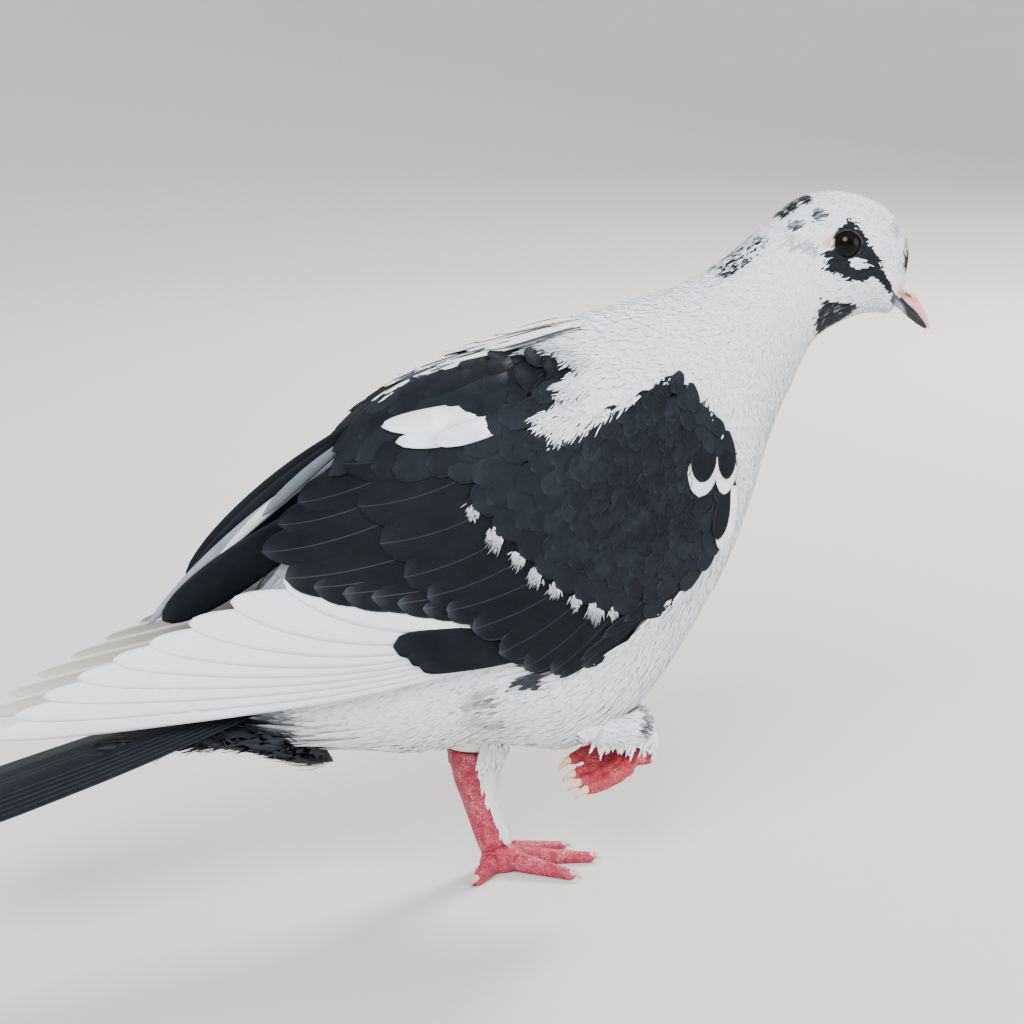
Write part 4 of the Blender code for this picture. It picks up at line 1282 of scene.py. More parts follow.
def row_coverts(lift, phase, span):
    """A row of longer coverts over the roots of the greater ones."""
    places = np.arange(0.0, len(GREATER_BASES) - 1.0, 1.0) + phase
    spots = spline(GREATER_BASES, places)
    tilt = lie(spots[:, 0], spots[:, 1]) * 0.9
    tips = spots + np.stack([np.cos(tilt), np.sin(tilt)], -1) * lift
    long = np.full(len(tips), span)
    root, aim = from_tips(tips, tilt, long, -0.1)
    return feathers(*root.T, aim, long, np.full(len(tips), 11.5), curve=0.1, deep_root=1.4, deep_tip=-0.34,
                    cup=0.45, blunt=2.8, tint=BLACK * RNG.uniform(1.4, 2.0, (len(tips), 1)), edge=0.45,
                    frill=0.25)


def place_coverts(side, label, shift):
    """All the coverts but the greater ones, with the small ones on top."""
    small = small_coverts()
    k = joined([row_coverts(0.6, 0.0, 19.0), row_coverts(8.0, 0.5, 17.0), small])
    quills("coverts_" + label, wing_chart(side, shift), k, 7, 8, M["dark"], "dark_feather")


def place_secondaries(side, label, shift):
    """The secondaries and tertials."""
    tips = np.array(FLIGHT_TIPS)[::-1]
    f = np.linspace(1.0, 0.0, len(tips))
    slope = np.radians(tips[:, 2])
    long = np.full(len(tips), 50.0)
    root, _ = from_tips(tips[:, :2], slope, long, 0.0)
    k = feathers(*root.T, math.pi + slope + 0.15, long, np.interp(f, (0.0, 0.2, 1.0), (17.5, 15.0, 10.0)),
                 curve=-0.30, deep_root=1.7 + f, deep_tip=0.1 + 0.9 * f, cup=0.45, blunt=3.4,
                 edge=np.interp(f, (0.0, 0.25, 0.4), (0.35, 0.6, 1.2)), shaft=0.5, frill=0.10)
    quills("secondaries_" + label, wing_chart(side, shift), k, 9, 18, M["dark"], "dark_feather",
           "wing_secondaries_" + label)


def place_primaries(side, label, shift):
    """The white primaries, with the shortest on top; the far left wing's are tinted cream as painted
    sunlight.
    """
    n = 9
    f = np.linspace(0.0, 1.0, n)
    tip = spline(PRIMARY_TIPS, f ** 0.85 * (len(PRIMARY_TIPS) - 1.0))
    root = np.stack([np.full(n, -18.0), 93.0 - 12.5 * f], -1)
    aim, long = aimed(tip - root)
    deep = 1.5 + 0.17 * np.arange(n)
    # the left wing's primaries are cream where the right's are white: painted sunlight on the far wing
    k = feathers(*root.T, aim + 0.05, long * 1.01, np.interp(f, (0.0, 1.0), (15.0, 9.5)), curve=-0.09,
                 deep_root=deep + 0.3, deep_tip=deep - 0.2, cup=0.2, blunt=2.2,
                 tint=WHITE * 1.03 if side < 0 else CREAM, edge=0.25, frill=0.0)
    quills("primaries_" + label, wing_chart(side, shift), reversed_row(k), 9, 22, M["light"], "white_feather",
           "wing_primaries_" + label)


def place_greater(side, label, shift):
    """The row of long coverts over the secondaries, each with a white downy patch where it comes out."""
    tips = np.array(GREATER_TIPS)
    step = np.array(GREATER_BASES) - tips
    slope = np.arctan2(step[:, 1], step[:, 0])
    long = np.linalg.norm(step, axis=1) + 10.0
    root, aim = from_tips(tips, slope, long, 0.0)
    f = np.linspace(0.0, 1.0, len(tips))
    k = feathers(*root.T, aim + 0.20, long, np.interp(f, (0.0, 0.3, 1.0), (16.0, 14.0, 11.5)),
                 curve=-0.42, deep_root=1.3 + 0.4 * f, deep_tip=-0.45 + 0.55 * f, cup=0.45, blunt=3.0,
                 tint=BLACK * 1.05, edge=np.interp(f, (0.0, 0.3, 0.5), (0.15, 0.4, 1.0)), shaft=0.35,
                 frill=0.15)
    chart = wing_chart(side, shift)
    quills("greater_coverts_" + label, chart, reversed_row(k), 9, 16, M["dark"], "dark_feather")
    spots = [downy_spot(*base, *rest) for base, *rest in zip(GREATER_BASES, slope, SPOT_STRENGTHS)]
    quills("downy_spots_" + label, chart, joined(spots), 3, 5, M["light"], "white_feather")


def downy_spot(x, z, tilt, share):
    """Short white barbs about a greater covert's root, more of them where its spot is stronger."""
    m = int(190 * share)
    turn = tilt + 0.75 + RNG.normal(0.0, 0.25, m)
    across = np.clip(RNG.normal(0.0, 0.5 + 0.7 * share, m), -2.6, 2.6)
    back = RNG.uniform(-1.4, 1.0, m)
    a = x + np.sin(tilt) * across - np.cos(tilt) * back
    b = z - np.cos(tilt) * across - np.sin(tilt) * back
    size = RNG.random(m) ** 2.5
    return feathers(a, b, math.pi + turn, 1.2 + 3.6 * share * size, RNG.uniform(0.16, 0.34, m),
                    deep_root=0.1, deep_tip=-0.28, cup=0.0, blunt=1.3, frill=0.0, edge=0.0,
                    fade=np.clip(0.3 + 1.2 * size, 0.0, 0.97), tint=WHITE * RNG.uniform(0.95, 1.1, (m, 1)))


def place_scapulars(side, label, shift):
    """The broad feathers along the back's edge, over the wing's inner coverts."""
    rows = []
    for rank, off in enumerate((39.0, 32.0, 25.0, 18.0, 11.0)):
        for x in np.arange(2.0 + (4.5 if rank % 2 else 0.0), -62.0, -9.0):
            rows.append((x, off * np.interp(x, (-60.0, 10.0), (0.62, 1.0))))
    tip_x, off = np.array(rows).T
    tip_x = tip_x + RNG.normal(0.0, 1.0, len(off))
    long = np.interp(tip_x, (-60.0, -24.0, -8.0), (30.0, 24.0, 11.0))
    inward = 0.02 + 0.004 * off
    root_x = tip_x + long * 0.98
    root_off = off + long * np.sin(inward) * 0.6
    chart = back_chart(side, shift)
    high = chart(tip_x, off)[0][..., 2]
    half_x = (tip_x + root_x) / 2.0
    halfway = chart(half_x, (off + root_off) / 2.0)[0][..., 2]
    keep = ~inside(MANTLE, tip_x - 1.5, high) & ~inside(MANTLE, half_x, halfway) & (high > 127.0)
    long, inward, root_x, root_off = (v[keep] for v in (long, inward, root_x, root_off))
    n = len(long)
    under = ease(-6.0, 4.0, root_x)
    k = feathers(root_x, root_off, math.pi + inward, long, RNG.uniform(11.0, 14.5, n),
                 curve=RNG.normal(0.0, 0.08, n), deep_root=0.6 + 3.2 * under, deep_tip=-0.55 + 0.3 * under,
                 cup=0.5, blunt=RNG.uniform(2.6, 3.4, n), tint=BLACK * RNG.uniform(1.1, 2.0, (n, 1)),
                 edge=RNG.uniform(0.1, 0.4, n), frill=0.25)
    quills("scapulars_" + label, chart, k, 9, 10, M["dark"], "dark_feather")


def place_back():
    """Narrow cream and slate feathers down the middle of the back, between the wings."""
    n = 76
    x = np.linspace(17.0, -17.0, n) + RNG.normal(0.0, 2.0, n)
    off = RNG.uniform(-1.0, 1.0, n) * np.interp(x, (-26.0, 0.0, 14.0, 34.0), (6.0, 8.5, 12.0, 14.0))
    dark = RNG.random(n) < np.interp(x, (-20.0, 10.0, 24.0), (0.4, 0.25, 0.0))
    tint = np.where(dark[:, None], SLATE * 0.3, (CREAM + WHITE) / 2.0 * RNG.uniform(0.88, 1.02, (n, 1)))
    wide = np.where(dark, RNG.uniform(1.0, 2.0, n), RNG.uniform(2.4, 4.4, n))
    k = feathers(x, off, math.pi + off * 0.006 + RNG.normal(0.0, 0.06, n), RNG.uniform(15.0, 24.0, n),
                 wide, curve=RNG.normal(0.0, 0.10, n), deep_root=1.7,
                 deep_tip=-0.3 - RNG.uniform(0.0, 0.5, n), cup=0.3, blunt=1.6, tint=tint, edge=0.4, frill=0.3)
    quills("back_feathers", back_chart(1, stay), k, 5, 9, M["light"], "white_feather")


def special_feathers(side, label, shift):
    """The white scapulars, the chevrons at the wrist, the steps under the coverts and the edge feathers."""
    white = WHITE * 1.03
    black = BLACK * 1.25
    rows = [
        # root x, root z, tip x, tip z, width, root depth, tip depth, bluntness, colour, rim
        (-9.5, 150.4, -41.5, 142.8, 8.4, 1.2, -1.9, 3.0, white, 0.1),
        (-8.5, 146.5, -39.5, 139.6, 6.8, 1.3, -1.7, 3.0, white, 0.1),
        (-8.5, 148.0, -31.0, 140.0, 7.0, 1.4, -1.8, 2.4, white, 0.1),
        (-2.0, 82.2, -38.4, 80.6, 7.0, 2.3, 1.3, 7.0, BLACK * 1.3, 0.2),
        (-4.0, 84.6, -41.6, 83.4, 8.0, 2.2, 1.2, 7.0, BLACK * 1.2, 0.2),
        (-6.0, 87.6, -45.4, 86.6, 8.4, 2.1, 1.1, 7.0, BLACK * 1.1, 0.2),
        (-2.0, 92.6, -36.0, 91.4, 8.0, 3.0, 2.2, 4.0, white, 0.1),
        (44.4, 138.5, 39.9, 123.6, 10.6, 0.6, -0.80, 1.6, white, 0.0),
        (52.0, 138.0, 48.6, 123.2, 8.6, 0.6, -0.80, 1.6, white, 0.0),
        (45.2, 141.0, 40.2, 127.6, 9.2, 1.0, -1.00, 1.8, black, 0.5),
        (52.4, 140.0, 49.2, 127.2, 7.2, 1.0, -1.00, 1.8, black, 0.5),
        (52.8, 124.6, 48.7, 107.2, 7.4, 0.1, -0.80, 2.2, white, 0.0),
        (50.6, 126.0, 47.0, 110.4, 6.2, 0.0, -1.00, 2.4, black, 0.5),
    ]
    edge = spline(WING_EDGE, np.array([3.6, 4.4, 5.2, 6.0, 6.8, 7.6]))
    _, slope = edge_lie(edge[:, 0], edge[:, 1])
    for (x, z), tilt in zip(edge, slope):
        lean = (math.cos(tilt), math.sin(tilt))
        root = (x - 1.6 * lean[1], z + 2.2 * lean[0])
        tip = (x - 1.6 - 26.0 * lean[0], z + 3.6 - 21.0 * lean[1])
        rows.append((*root, *tip, 4.4, 0.9, 0.0, 3.0, black, 1.0))
    r = np.array([row[:8] for row in rows])
    aim, long = aimed(r[:, 2:4] - r[:, 0:2])
    k = feathers(r[:, 0], r[:, 1], aim, long * 1.02, r[:, 4], deep_root=r[:, 5], deep_tip=r[:, 6],
                 blunt=r[:, 7], tint=[row[8] for row in rows], edge=[row[9] for row in rows], frill=0.15)
    quills("marked_feathers_" + label, wing_chart(side, shift), k, 9, 12, M["dark"], "white_feather")


def place_between():
    """The black and the grey and white feathers that show between the folded wings."""
    rows = [
        # root x, root z, tip x, tip z, width, depth, colour, turn
        (-53.0, 121.0, -101.5, 91.2, 13.0, 1.0, BLACK * 1.1, 0.0),
        (-50.0, 134.4, -105.0, 89.5, 4.2, 1.8, np.array((0.24, 0.26, 0.30)), 0.30),
        (-48.0, 138.6, -85.5, 107.6, 3.0, 1.5, WHITE * 0.8, 0.16),
        (-47.0, 139.6, -73.5, 118.4, 3.6, 1.3, np.array((0.16, 0.18, 0.21)), 0.16),
        (-42.0, 143.0, -94.0, 101.0, 11.0, 3.6, BLACK * 1.1, 0.20),
        (-52.0, 136.6, -96.0, 97.0, 8.0, 3.2, BLACK * 1.4, 0.20),
    ]
    r = np.array([row[:6] for row in rows])
    turn = np.array([row[7] for row in rows])
    aim, long = aimed(r[:, 2:4] - r[:, 0:2])
    k = feathers(r[:, 0], r[:, 1], aim - turn / 2.0, long * 1.01, r[:, 4], curve=turn, deep_root=r[:, 5],
                 deep_tip=r[:, 5], cup=0.4, blunt=2.4, tint=[row[6] for row in rows], edge=0.2)
    quills("between_wings", side_chart(-4.5, 0.06, 110.0), k, 9, 16, M["dark"], "dark_feather")


def make_wings():
    """Both wings; the left one is the right one mirrored, and shifted where it shows past the back."""
    for side, label, low, drop, rise in (
        (1, "left", lower_left, drop_left, rise_left),
        (-1, "right", stay, stay, stay),
    ):
        place_secondaries(side, label, drop)
        place_primaries(side, label, rise)
        place_greater(side, label, low)
        place_coverts(side, label, low)
        place_scapulars(side, label, low)
        special_feathers(side, label, low)
    place_between()
    place_back()


# ------------------------------------------------------------------ the tail

def make_tail():
    """Twelve tail feathers, the middle pair on top."""
    rank = np.repeat(np.arange(6), 2)[::-1]
    side = np.tile((1.0, -1.0), 6)
    base_y = side * (1.0 + rank * 1.5)
    tip_y = side * (1.5 + rank * 2.6)
    long = 92.0 - 0.35 * rank ** 1.6
    aim = math.pi - np.arctan2(tip_y - base_y, long)
    k = feathers(np.full(12, -80.5), base_y, aim, long, np.full(12, 15.5),
                 deep_root=0.30 * rank + 0.9, deep_tip=0.30 * rank - 0.2, cup=0.35, blunt=4.2,
                 tint=BLACK * 1.35, edge=0.5, shaft=0.5, frill=0.05)
    quills("tail_feathers", tail_chart, k, 9, 22, M["dark"], "tail_feather", "tail")


# ------------------------------------------------------------------ eyes, lids and bill

def ball(centre, radius, side):
    """Points and faces of a ball whose pole faces sideways, and the turn from the pole of each point."""
    bands, sides = 24, 40
    a = np.linspace(0.0, math.pi, bands + 1)[1:-1]
    b = np.arange(sides) * 2.0 * math.pi / sides
    turn, round_ = np.meshgrid(a, b, indexing="ij")
    off = np.stack([np.sin(turn) * np.cos(round_), side * np.cos(turn), np.sin(turn) * np.sin(round_)], -1)
    off = np.concatenate([off.reshape(-1, 3), [(0.0, side, 0.0), (0.0, -side, 0.0)]])
    quads, caps = tube_faces(bands - 1, sides)
    if side > 0:
        quads = quads[:, ::-1]
        caps = caps[:, ::-1]
    return np.asarray(centre) + off * radius, quads, caps, np.concatenate([turn.ravel(), [0.0, math.pi]])


def make_eyes():
    """The eyeballs, each with a dark iris about a black pupil, and their lids."""
    pupil = np.array((0.0008, 0.0008, 0.0008))
    iris = np.array((0.0050, 0.0024, 0.0018))
    for side, label in SIDES:
        centre = (EYE_AT[0], EYE_AT[1] * side, EYE_AT[2])
        verts, quads, caps, turn = ball(centre, EYE_R, side)
        reach = EYE_R * np.sin(np.minimum(turn, math.pi / 2.0))
        mesh = build_mesh("eye_ball_" + label, pose(verts), [caps, quads])
        paint(mesh, blend(pupil, iris, ease(1.7, 2.3, reach) * (1.0 - ease(3.0, 3.8, reach))))
        show("eye_ball_" + label, mesh, M["eye"], "eye", "eye_" + label)
        make_lids(centre, side, label)


def make_lids(centre, side, label):
    """A fleshy ring about the eye's opening, drawn out at its corners, with a pale fleck at the back one; its
    front is painted lighter, as painted light.
    """
    sides, round_ = 72, 12
    b = np.arange(sides) * 2.0 * math.pi / sides
    c = np.arange(round_) * 2.0 * math.pi / round_
    turn, sweep = np.meshgrid(b, c, indexing="ij")
    corner = np.cos(turn) ** 8
    ring = EYE_OPENING + 0.1 + 0.35 * corner
    thick = 0.36 - 0.06 * corner + 0.04 * np.sin(9.0 * turn)
    reach = ring + thick * np.cos(sweep)
    height = math.sqrt(EYE_R ** 2 - EYE_OPENING ** 2) + 0.22 + 0.62 * thick * np.sin(sweep) - 0.3 * corner
    verts = np.stack([reach * np.cos(turn), side * height, reach * np.sin(turn)], -1) + np.asarray(centre)
    i, j = np.meshgrid(np.arange(sides), np.arange(round_), indexing="ij")
    p = (i + 1) % sides
    q = (j + 1) % round_
    quads = np.stack([i * round_ + j, p * round_ + j, p * round_ + q, i * round_ + q], -1).reshape(-1, 4)
    grey = np.array((0.020, 0.021, 0.026))
    fleck = ease(0.86, 0.99, -np.cos(turn - 0.12)) * ease(0.2, 0.7, np.cos(sweep))
    # the ring is lighter towards its front: painted light
    lit_front = 0.6 + 0.7 * ease(-0.2, 0.9, np.cos(turn + 0.3))
    fleck_tone = np.array((0.70, 0.46, 0.28))
    colour = grey * lit_front[..., None] + (fleck_tone - grey) * fleck[..., None]
    mesh = build_mesh("lids_" + label, pose(verts.reshape(-1, 3)), [quads])
    paint(mesh, colour.reshape(-1, 3))
    show("lids_" + label, mesh, M["lid"], "cere_skin")


# how square a section's corners are; 2 is an ellipse
LOFT_POWER = 2.2


def loft(name, rows, sides, steps, tones, material, slot, *nodes):
    """A closed solid through sections given as top x, top z, bottom x, bottom z and half width."""
    r = spline(rows, np.linspace(0.0, len(rows) - 1.0, steps))
    turn = np.arange(sides) * 2.0 * math.pi / sides
    c, s = (np.sign(wave) * np.abs(wave) ** (2.0 / LOFT_POWER) for wave in (np.cos(turn), np.sin(turn)))
    mid = (r[:, 0:2] + r[:, 2:4]) / 2.0
    up = (r[:, 0:2] - r[:, 2:4]) / 2.0
    verts = np.stack([mid[:, 0:1] + up[:, 0:1] * c, r[:, 4:5] * s, mid[:, 1:2] + up[:, 1:2] * c], -1)
    ends = np.stack([verts[0].mean(0), verts[-1].mean(0)])
    flat = np.concatenate([verts.reshape(-1, 3), ends])
    quads, caps = tube_faces(steps, sides)
    mesh = build_mesh(name, pose(flat), [caps, quads])
    paint(mesh, tones(*flat.T))
    show(name, mesh, material, slot, *nodes)


def near_line(x, z, ax, az, bx, bz):
    """Distance of places from a straight line between two points."""
    dx, dz = bx - ax, bz - az
    f = np.clip(((x - ax) * dx + (z - az) * dz) / (dx * dx + dz * dz), 0.0, 1.0)
    return np.hypot(x - ax - f * dx, z - az - f * dz)


def upper_tones(x, y, z):
    """Pinkish white cere, salmon horn with a paler tip, and an orange slit with a nostril painted dark as the
    shade in its opening.
    """
    cere = np.array((0.86, 0.74, 0.74))
    horn = np.array((0.80, 0.40, 0.37))
    colour = blend(cere, horn, ease(121.4, 124.4, x - 0.25 * (z - 172.0)))
    colour = blend(colour, np.array((0.80, 0.54, 0.54)), 0.6 * ease(125.8, 128.4, x))
    slit = (1.0 - ease(0.35, 1.15, near_line(x, z, 118.6, 174.0, 123.4, 171.2))) * (np.abs(y) > 1.2)
    colour = blend(colour, np.array((0.80, 0.20, 0.10)), 0.85 * slit)
    # the nostril's dark is painted shade in its opening
    nostril_shade = (1.0 - ease(0.25, 0.55, near_line(x, z, 120.5, 173.5, 122.0, 172.7))) * (np.abs(y) > 1.5)
    return blend(colour, np.array((0.10, 0.03, 0.02)), 0.9 * nostril_shade)


def lower_tones(x, y, z):
    """Slate at the corner of the mouth and along where the bill closes, painted shade of the gape; then a
    pale grey band, a painted highlight; and black horn from half way out.
    """
    # slate along the gape: painted shade where the upper half closes over the lower
    gape_shade = np.array((0.045, 0.055, 0.075))
    # pale grey band: painted highlight along the lower half
    pale = np.array((0.34, 0.35, 0.40))
    black = np.array((0.010, 0.010, 0.012))
    rise = above_mouth(x, z)
    colour = blend(pale, gape_shade, np.maximum(ease(-1.9, -0.7, rise), 1.0 - ease(117.0, 118.2, x)))
    return blend(colour, black, ease(118.6, 120.6, x + 0.5 * rise))


CERE_SECTIONS = (
    (119.4, 180.0, 115.6, 176.4, 2.6), (120.8, 178.8, 117.0, 175.2, 3.5), (121.9, 177.1, 118.5, 174.0, 3.8),
    (122.8, 175.2, 120.0, 172.8, 3.6), (123.6, 173.4, 121.4, 171.8, 3.0), (124.1, 172.4, 122.4, 171.0, 2.2),
)
UPPER_BILL_SECTIONS = (
    (119.4, 177.0, 117.0, 174.0, 3.1), (121.6, 175.0, 119.2, 172.1, 3.1), (123.4, 173.0, 121.0, 170.3, 2.8),
    (124.8, 171.2, 122.6, 168.9, 2.5), (126.4, 168.5, 124.5, 167.0, 2.0), (127.7, 165.9, 126.1, 165.1, 1.4),
    (128.3, 164.0, 127.3, 163.5, 0.8), (128.3, 162.8, 128.0, 162.5, 0.3),
)
LOWER_BILL_SECTIONS = (
    (117.2, 174.2, 114.6, 170.6, 3.0), (119.4, 172.2, 117.4, 169.6, 2.8), (121.3, 170.5, 119.4, 168.3, 2.4),
    (123.0, 168.9, 121.6, 166.3, 2.1), (124.9, 167.1, 124.0, 164.5, 1.6), (126.4, 165.4, 126.0, 163.2, 1.0),
    (127.5, 163.9, 127.2, 162.8, 0.4),
)


def make_bill():
    """The cere and the two halves of the bill."""
    loft("cere_swelling", CERE_SECTIONS, 36, 24, upper_tones, M["cere"], "cere_skin", "cere")
    loft("upper_mandible", UPPER_BILL_SECTIONS, 32, 40, upper_tones, M["bill"], "bill_horn", "bill_upper")
    loft("lower_mandible", LOWER_BILL_SECTIONS, 28, 34, lower_tones, M["bill"], "lower_bill_horn",
         "bill_lower")


# ------------------------------------------------------------------ feet

FOOT_VOXEL = 0.42
FOOT_SMOOTHING = 14
PLATE_STEP = 1.35
PLATE_RISE = 0.22


def remeshed(names, chains, grow):
    """One closed mesh around several CAD nodes and chains of beads."""
    verts = []
    faces = []
    for name in names:
        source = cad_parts[name].data
        start = len(verts)
        verts += [np.array(v.co) + np.array(v.normal) * grow * MM for v in source.vertices]
        faces += [[start + i for i in p.vertices] for p in source.polygons]
    for chain in chains:
        start = len(verts)
        more, rims = beads(*chain)
        verts += list(more * MM)
        faces += [[start + i for i in rim] for rim in rims]
    mesh = bpy.data.meshes.new("union")
    mesh.from_pydata([tuple(v) for v in verts], [], faces)
    thing = place("union", mesh)
    voxels = thing.modifiers.new("voxels", "REMESH")
    voxels.mode = "VOXEL"
    voxels.voxel_size = FOOT_VOXEL * MM
    smooth = thing.modifiers.new("smooth", "SMOOTH")
    smooth.factor = 0.5
    smooth.iterations = FOOT_SMOOTHING
    made = evaluated(thing)
    bpy.data.meshes.remove(mesh)
    return made


def toe_axis(name):
    """A toe's thick end, the direction to its tip, its length, and its thickness at both ends."""
    co = node_points(name) / MM
    centre = co.mean(0)
    _, _, axes = np.linalg.svd(co - centre)
    ahead = axes[0]
    along = (co - centre) @ ahead
    apart = np.linalg.norm(co - centre - np.outer(along, ahead), axis=1)
    span = along.max() - along.min()
    thick = apart[along < along.min() + 0.25 * span].mean()
    thin = apart[along > along.max() - 0.25 * span].mean()
    if thin > thick:
        ahead = -ahead
        thick, thin = thin, thick
        along = -along
    return centre + ahead * along.min(), ahead, span, thick, thin


def beads(start, end, first, last, count):
    """Balls of changing size from one place to another, as points and faces."""
    verts = []
    faces = []
    bm = bmesh.new()
    bmesh.ops.create_icosphere(bm, subdivisions=2, radius=1.0)
    ball_verts = np.array([v.co for v in bm.verts])
    ball_faces = [[v.index for v in f.verts] for f in bm.faces]
    bm.free()
    for f in np.linspace(0.0, 1.0, count):
        base = len(verts) * len(ball_verts)
        verts.append(ball_verts * (first + (last - first) * f) + start + (end - start) * f)
        faces += [[base + i for i in face] for face in ball_faces]
    return np.concatenate(verts), faces


def foot_chains(label, palm, axes):
    """Beads that thicken the toes, join them to the palm, and web or raise them."""
    chains = []
    for start, ahead, long, thick, thin in axes:
        chains.append((palm, start + ahead * 2.0, thick * 1.15, thick * 0.98, 7))
        if label == "left":
            chains.append((start, start + ahead * long, thick * 1.22, thin * 1.25, 12))
        chains.append((start + ahead * (long - 1.5), start + ahead * (long + 1.2), thin, thin * 0.72, 5))
    if label == "left":
        chains.append((palm, palm + np.array((-1.6, 0.2, 6.0)), 3.6, 3.2, 6))
        chains.append((palm + np.array((-2.4, 0.0, -0.4)), palm + np.array((-3.2, 0.2, 9.0)), 3.4, 3.0, 8))
        return chains
    for (one, ahead, long, _, _), (two, beside, reach, _, _) in zip(axes, axes[1:]):
        for share in (0.1, 0.35, 0.6):
            chains.append((one + ahead * long * share, two + beside * reach * share, 1.4, 1.4, 7))
    return chains


def plates(co, normal, axes, up):
    """How far the plates across the toes' upper sides stand out at each point."""
    raised = np.zeros(len(co))
    upper = np.clip(normal @ unit(np.asarray(up)), 0.0, 1.0)
    for start, ahead, long, _, _ in axes:
        along = (co - start) @ ahead
        off = np.linalg.norm(co - start - np.outer(along, ahead), axis=1)
        near = (along > 1.0) & (along < long + 1.0) & (off < 3.6)
        ridge = np.abs(np.sin(along / PLATE_STEP * math.pi)) ** 0.5
        raised = np.where(near, np.maximum(raised, PLATE_RISE * ridge * upper), raised)
    return raised


def make_foot(label, up, grow, tone):
    """The bare skin of a foot, with raised plates across each toe, its colour multiplied by a tone; the
    lifted right foot's tone is brighter and more orange, painted sunlight.
    """
    toes = ["toe_%s_%s" % (label, toe) for toe in TOES]
    nodes = toes + ["palm_" + label] + (["tarsus_left"] if label == "left" else [])
    axes = [toe_axis(toe) for toe in toes]
    palm = node_points("palm_" + label).mean(0) / MM
    mesh = remeshed(nodes, foot_chains(label, palm, axes), grow)
    co = read(mesh, "co") / MM
    normal = read(mesh, "normal")
    co = co + normal * plates(co, normal, axes, up)[:, None]
    co[:, 2] = np.maximum(co[:, 2], 0.0)
    mesh.vertices.foreach_set("co", (co * MM).astype(np.float32).ravel())
    mesh.polygons.foreach_set("use_smooth", np.full(len(mesh.polygons), True))
    redder = ease(12.0, 30.0, co[:, 2])[:, None] * (1.0 if label == "left" else 0.0)
    paint(mesh, np.asarray(tone) * (1.0 + redder * np.array((0.10, 1.1, 0.9))))
    show("foot_" + label, mesh, M["foot"], "foot_skin", *nodes)


def make_claws():
    """The claws, rounded and shortened from the solids; the lifted right foot's are orange-yellow as painted
    sunlight.
    """
    # the right claws' orange-yellow is painted sunlight shining through them
    pale = {"left": (0.76, 0.52, 0.44), "right": (0.84, 0.62, 0.34)}
    shorten = {"left": 0.40, "right": 0.22}
    for label in ("left", "right"):
        for toe in TOES:
            node = "claw_%s_%s" % (label, toe)
            claw = place("claw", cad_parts[node].data.copy())
            claw.modifiers.new("weld", "WELD").merge_threshold = 0.00001
            rounder = claw.modifiers.new("round", "SUBSURF")
            rounder.levels = 2
            rounder.render_levels = 2
            mesh = evaluated(claw)
            start, ahead, long, _, _ = toe_axis(node)
            for v in mesh.vertices:
                along = (np.array(v.co) / MM - start) @ ahead / long
                v.co += v.normal * MM * 0.45 * float(np.clip(1.0 - 0.7 * along, 0.0, 1.0))
                v.co -= Vector(ahead * along * long * shorten[label] * MM)
                v.co.z = max(v.co.z, 0.0)
            mesh.polygons.foreach_set("use_smooth", np.full(len(mesh.polygons), True))
            paint(mesh, pale[label])
            show("%s_claw_%s" % (toe, label), mesh, M["claw"], "claw_horn", node)


# ------------------------------------------------------------------ stage, lights and camera

CAMERA_TURN = math.radians(20.0)
CAMERA_DOWN = math.radians(13.0)
CAMERA_FAR = 0.640
LENS = 73.828125
SENSOR = 36.0
# where the standing foot's sole lies in the frame, as shares of its side from the top left corner
FOOT_AT = (0.48828125, 0.8466796875)
BIRD_MIDDLE = Vector((0.0, 0.0, 0.1))
FLOOR_RINGS = ((0.9, 0.0), (1.6, 0.0), (2.2, 0.06), (2.7, 0.25), (3.0, 0.6), (3.15, 1.1), (3.2, 2.2))


def make_camera():
    """The view from the bird's right side, a little from behind and above."""
    c, s = math.cos(CAMERA_DOWN), math.sin(CAMERA_DOWN)
    look = Vector((math.sin(CAMERA_TURN) * c, math.cos(CAMERA_TURN) * c, -s))
    right = Vector((math.cos(CAMERA_TURN), -math.sin(CAMERA_TURN), 0.0))
    up = right.cross(look)
    focal = LENS / SENSOR
    across = (FOOT_AT[0] - 0.5) / focal * CAMERA_FAR
    rise = -(FOOT_AT[1] - 0.5) / focal * CAMERA_FAR
    data = bpy.data.cameras.new("camera")
    data.sensor_width = SENSOR
    data.lens = LENS
    data.clip_start = 0.01
    camera = place("camera", data)
    camera.location = -(right * across + up * rise + look * CAMERA_FAR)
    camera.rotation_euler = look.to_track_quat("-Z", "Y").to_euler()
    bpy.context.scene.camera = camera


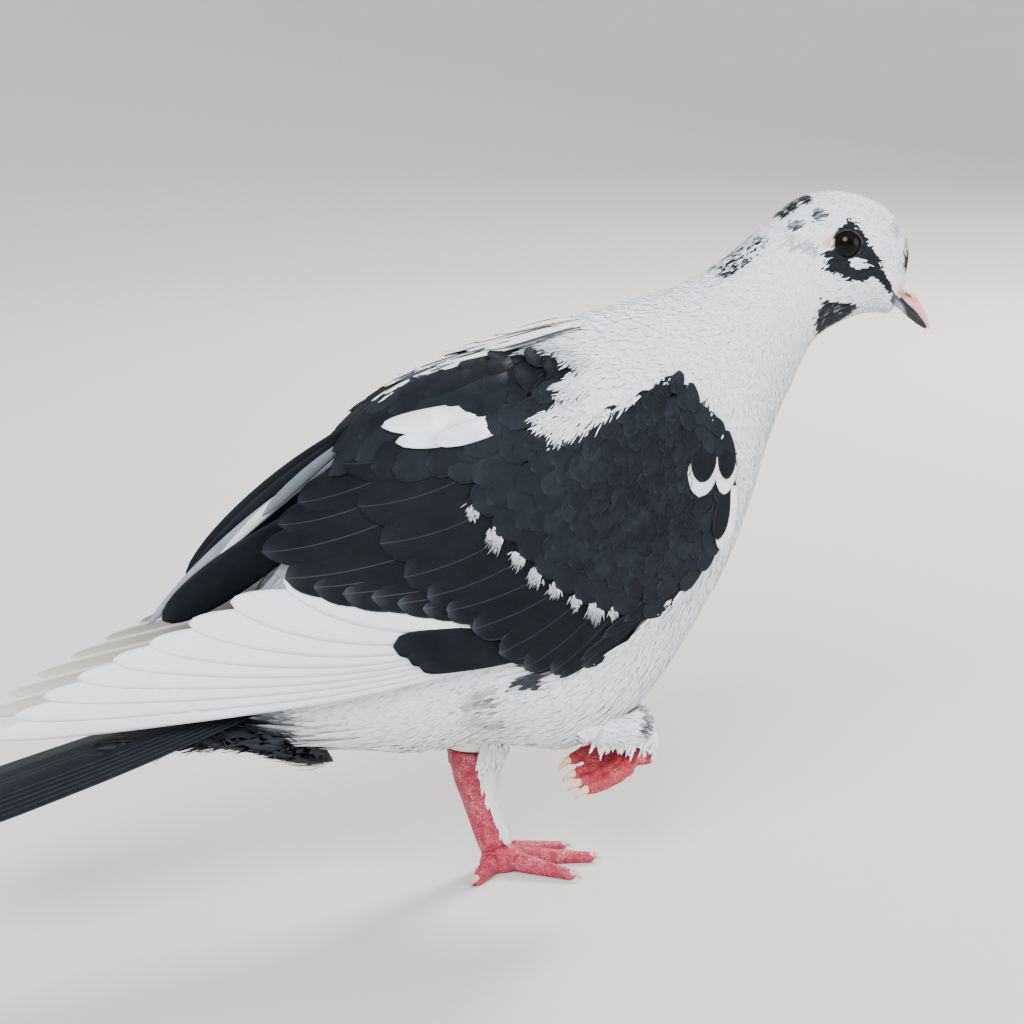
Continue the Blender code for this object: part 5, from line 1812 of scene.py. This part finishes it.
def add_light(name, spot, size, power, colour):
    """A round soft light that shines on the bird's middle."""
    data = bpy.data.lights.new(name, "AREA")
    data.shape = "DISK"
    data.size = size
    data.energy = power
    data.color = colour
    light = place(name, data)
    light.location = spot
    light.rotation_euler = (BIRD_MIDDLE - Vector(spot)).to_track_quat("-Z", "Y").to_euler()


def make_floor():
    """A pale floor that sweeps up into a backdrop on every side."""
    sides = 64
    verts = [(0.0, 0.0, 0.0)]
    for reach, high in FLOOR_RINGS:
        for k in range(sides):
            a = 2.0 * math.pi * k / sides
            verts.append((reach * math.cos(a), reach * math.sin(a), high))
    faces = [(0, 1 + k, 1 + (k + 1) % sides) for k in range(sides)]
    for r in range(len(FLOOR_RINGS) - 1):
        for k in range(sides):
            n = (k + 1) % sides
            base = 1 + r * sides
            faces.append((base + k, base + sides + k, base + sides + n, base + n))
    mesh = bpy.data.meshes.new("floor")
    mesh.from_pydata(verts, [], faces)
    mesh.polygons.foreach_set("use_smooth", np.full(len(faces), True))
    material, _, shader = new_material("floor")
    shader.inputs["Base Color"].default_value = (0.62, 0.62, 0.61, 1.0)
    shader.inputs["Roughness"].default_value = 0.9
    mesh.materials.append(material)
    floor = place("floor", mesh)


def make_lights():
    """A pale sky, a large soft key from the right, a warm rim from behind and a weak fill."""
    world = bpy.data.worlds.new("studio")
    world.use_nodes = True
    sky = world.node_tree.nodes["Background"]
    sky.inputs["Color"].default_value = (0.86, 0.92, 1.0, 1.0)
    sky.inputs["Strength"].default_value = 1.1
    bpy.context.scene.world = world
    add_light("key", (-0.9, -1.3, 1.3), 1.0, 54.0, (0.92, 0.96, 1.0))
    add_light("rim", (1.2, 0.9, 1.1), 0.5, 50.0, (1.0, 0.93, 0.82))
    add_light("fill", (1.2, -1.2, 0.5), 1.2, 14.0, (1.0, 0.98, 0.95))


make_camera()
make_floor()
make_lights()
make_skin()
body_coat()
leg_coats()
leg_fringe()
undertail_coat()
dark_down()
mantle_fringe()
make_wings()
make_tail()
make_eyes()
make_bill()
make_foot("left", (0.0, 0.0, 1.0), 0.30, (1.0, 0.95, 1.0))
# the lifted right foot's brighter, more orange tone is painted sunlight
make_foot("right", (-0.3, -0.9, -0.3), 0.55, (1.1, 1.15, 0.8))
make_claws()
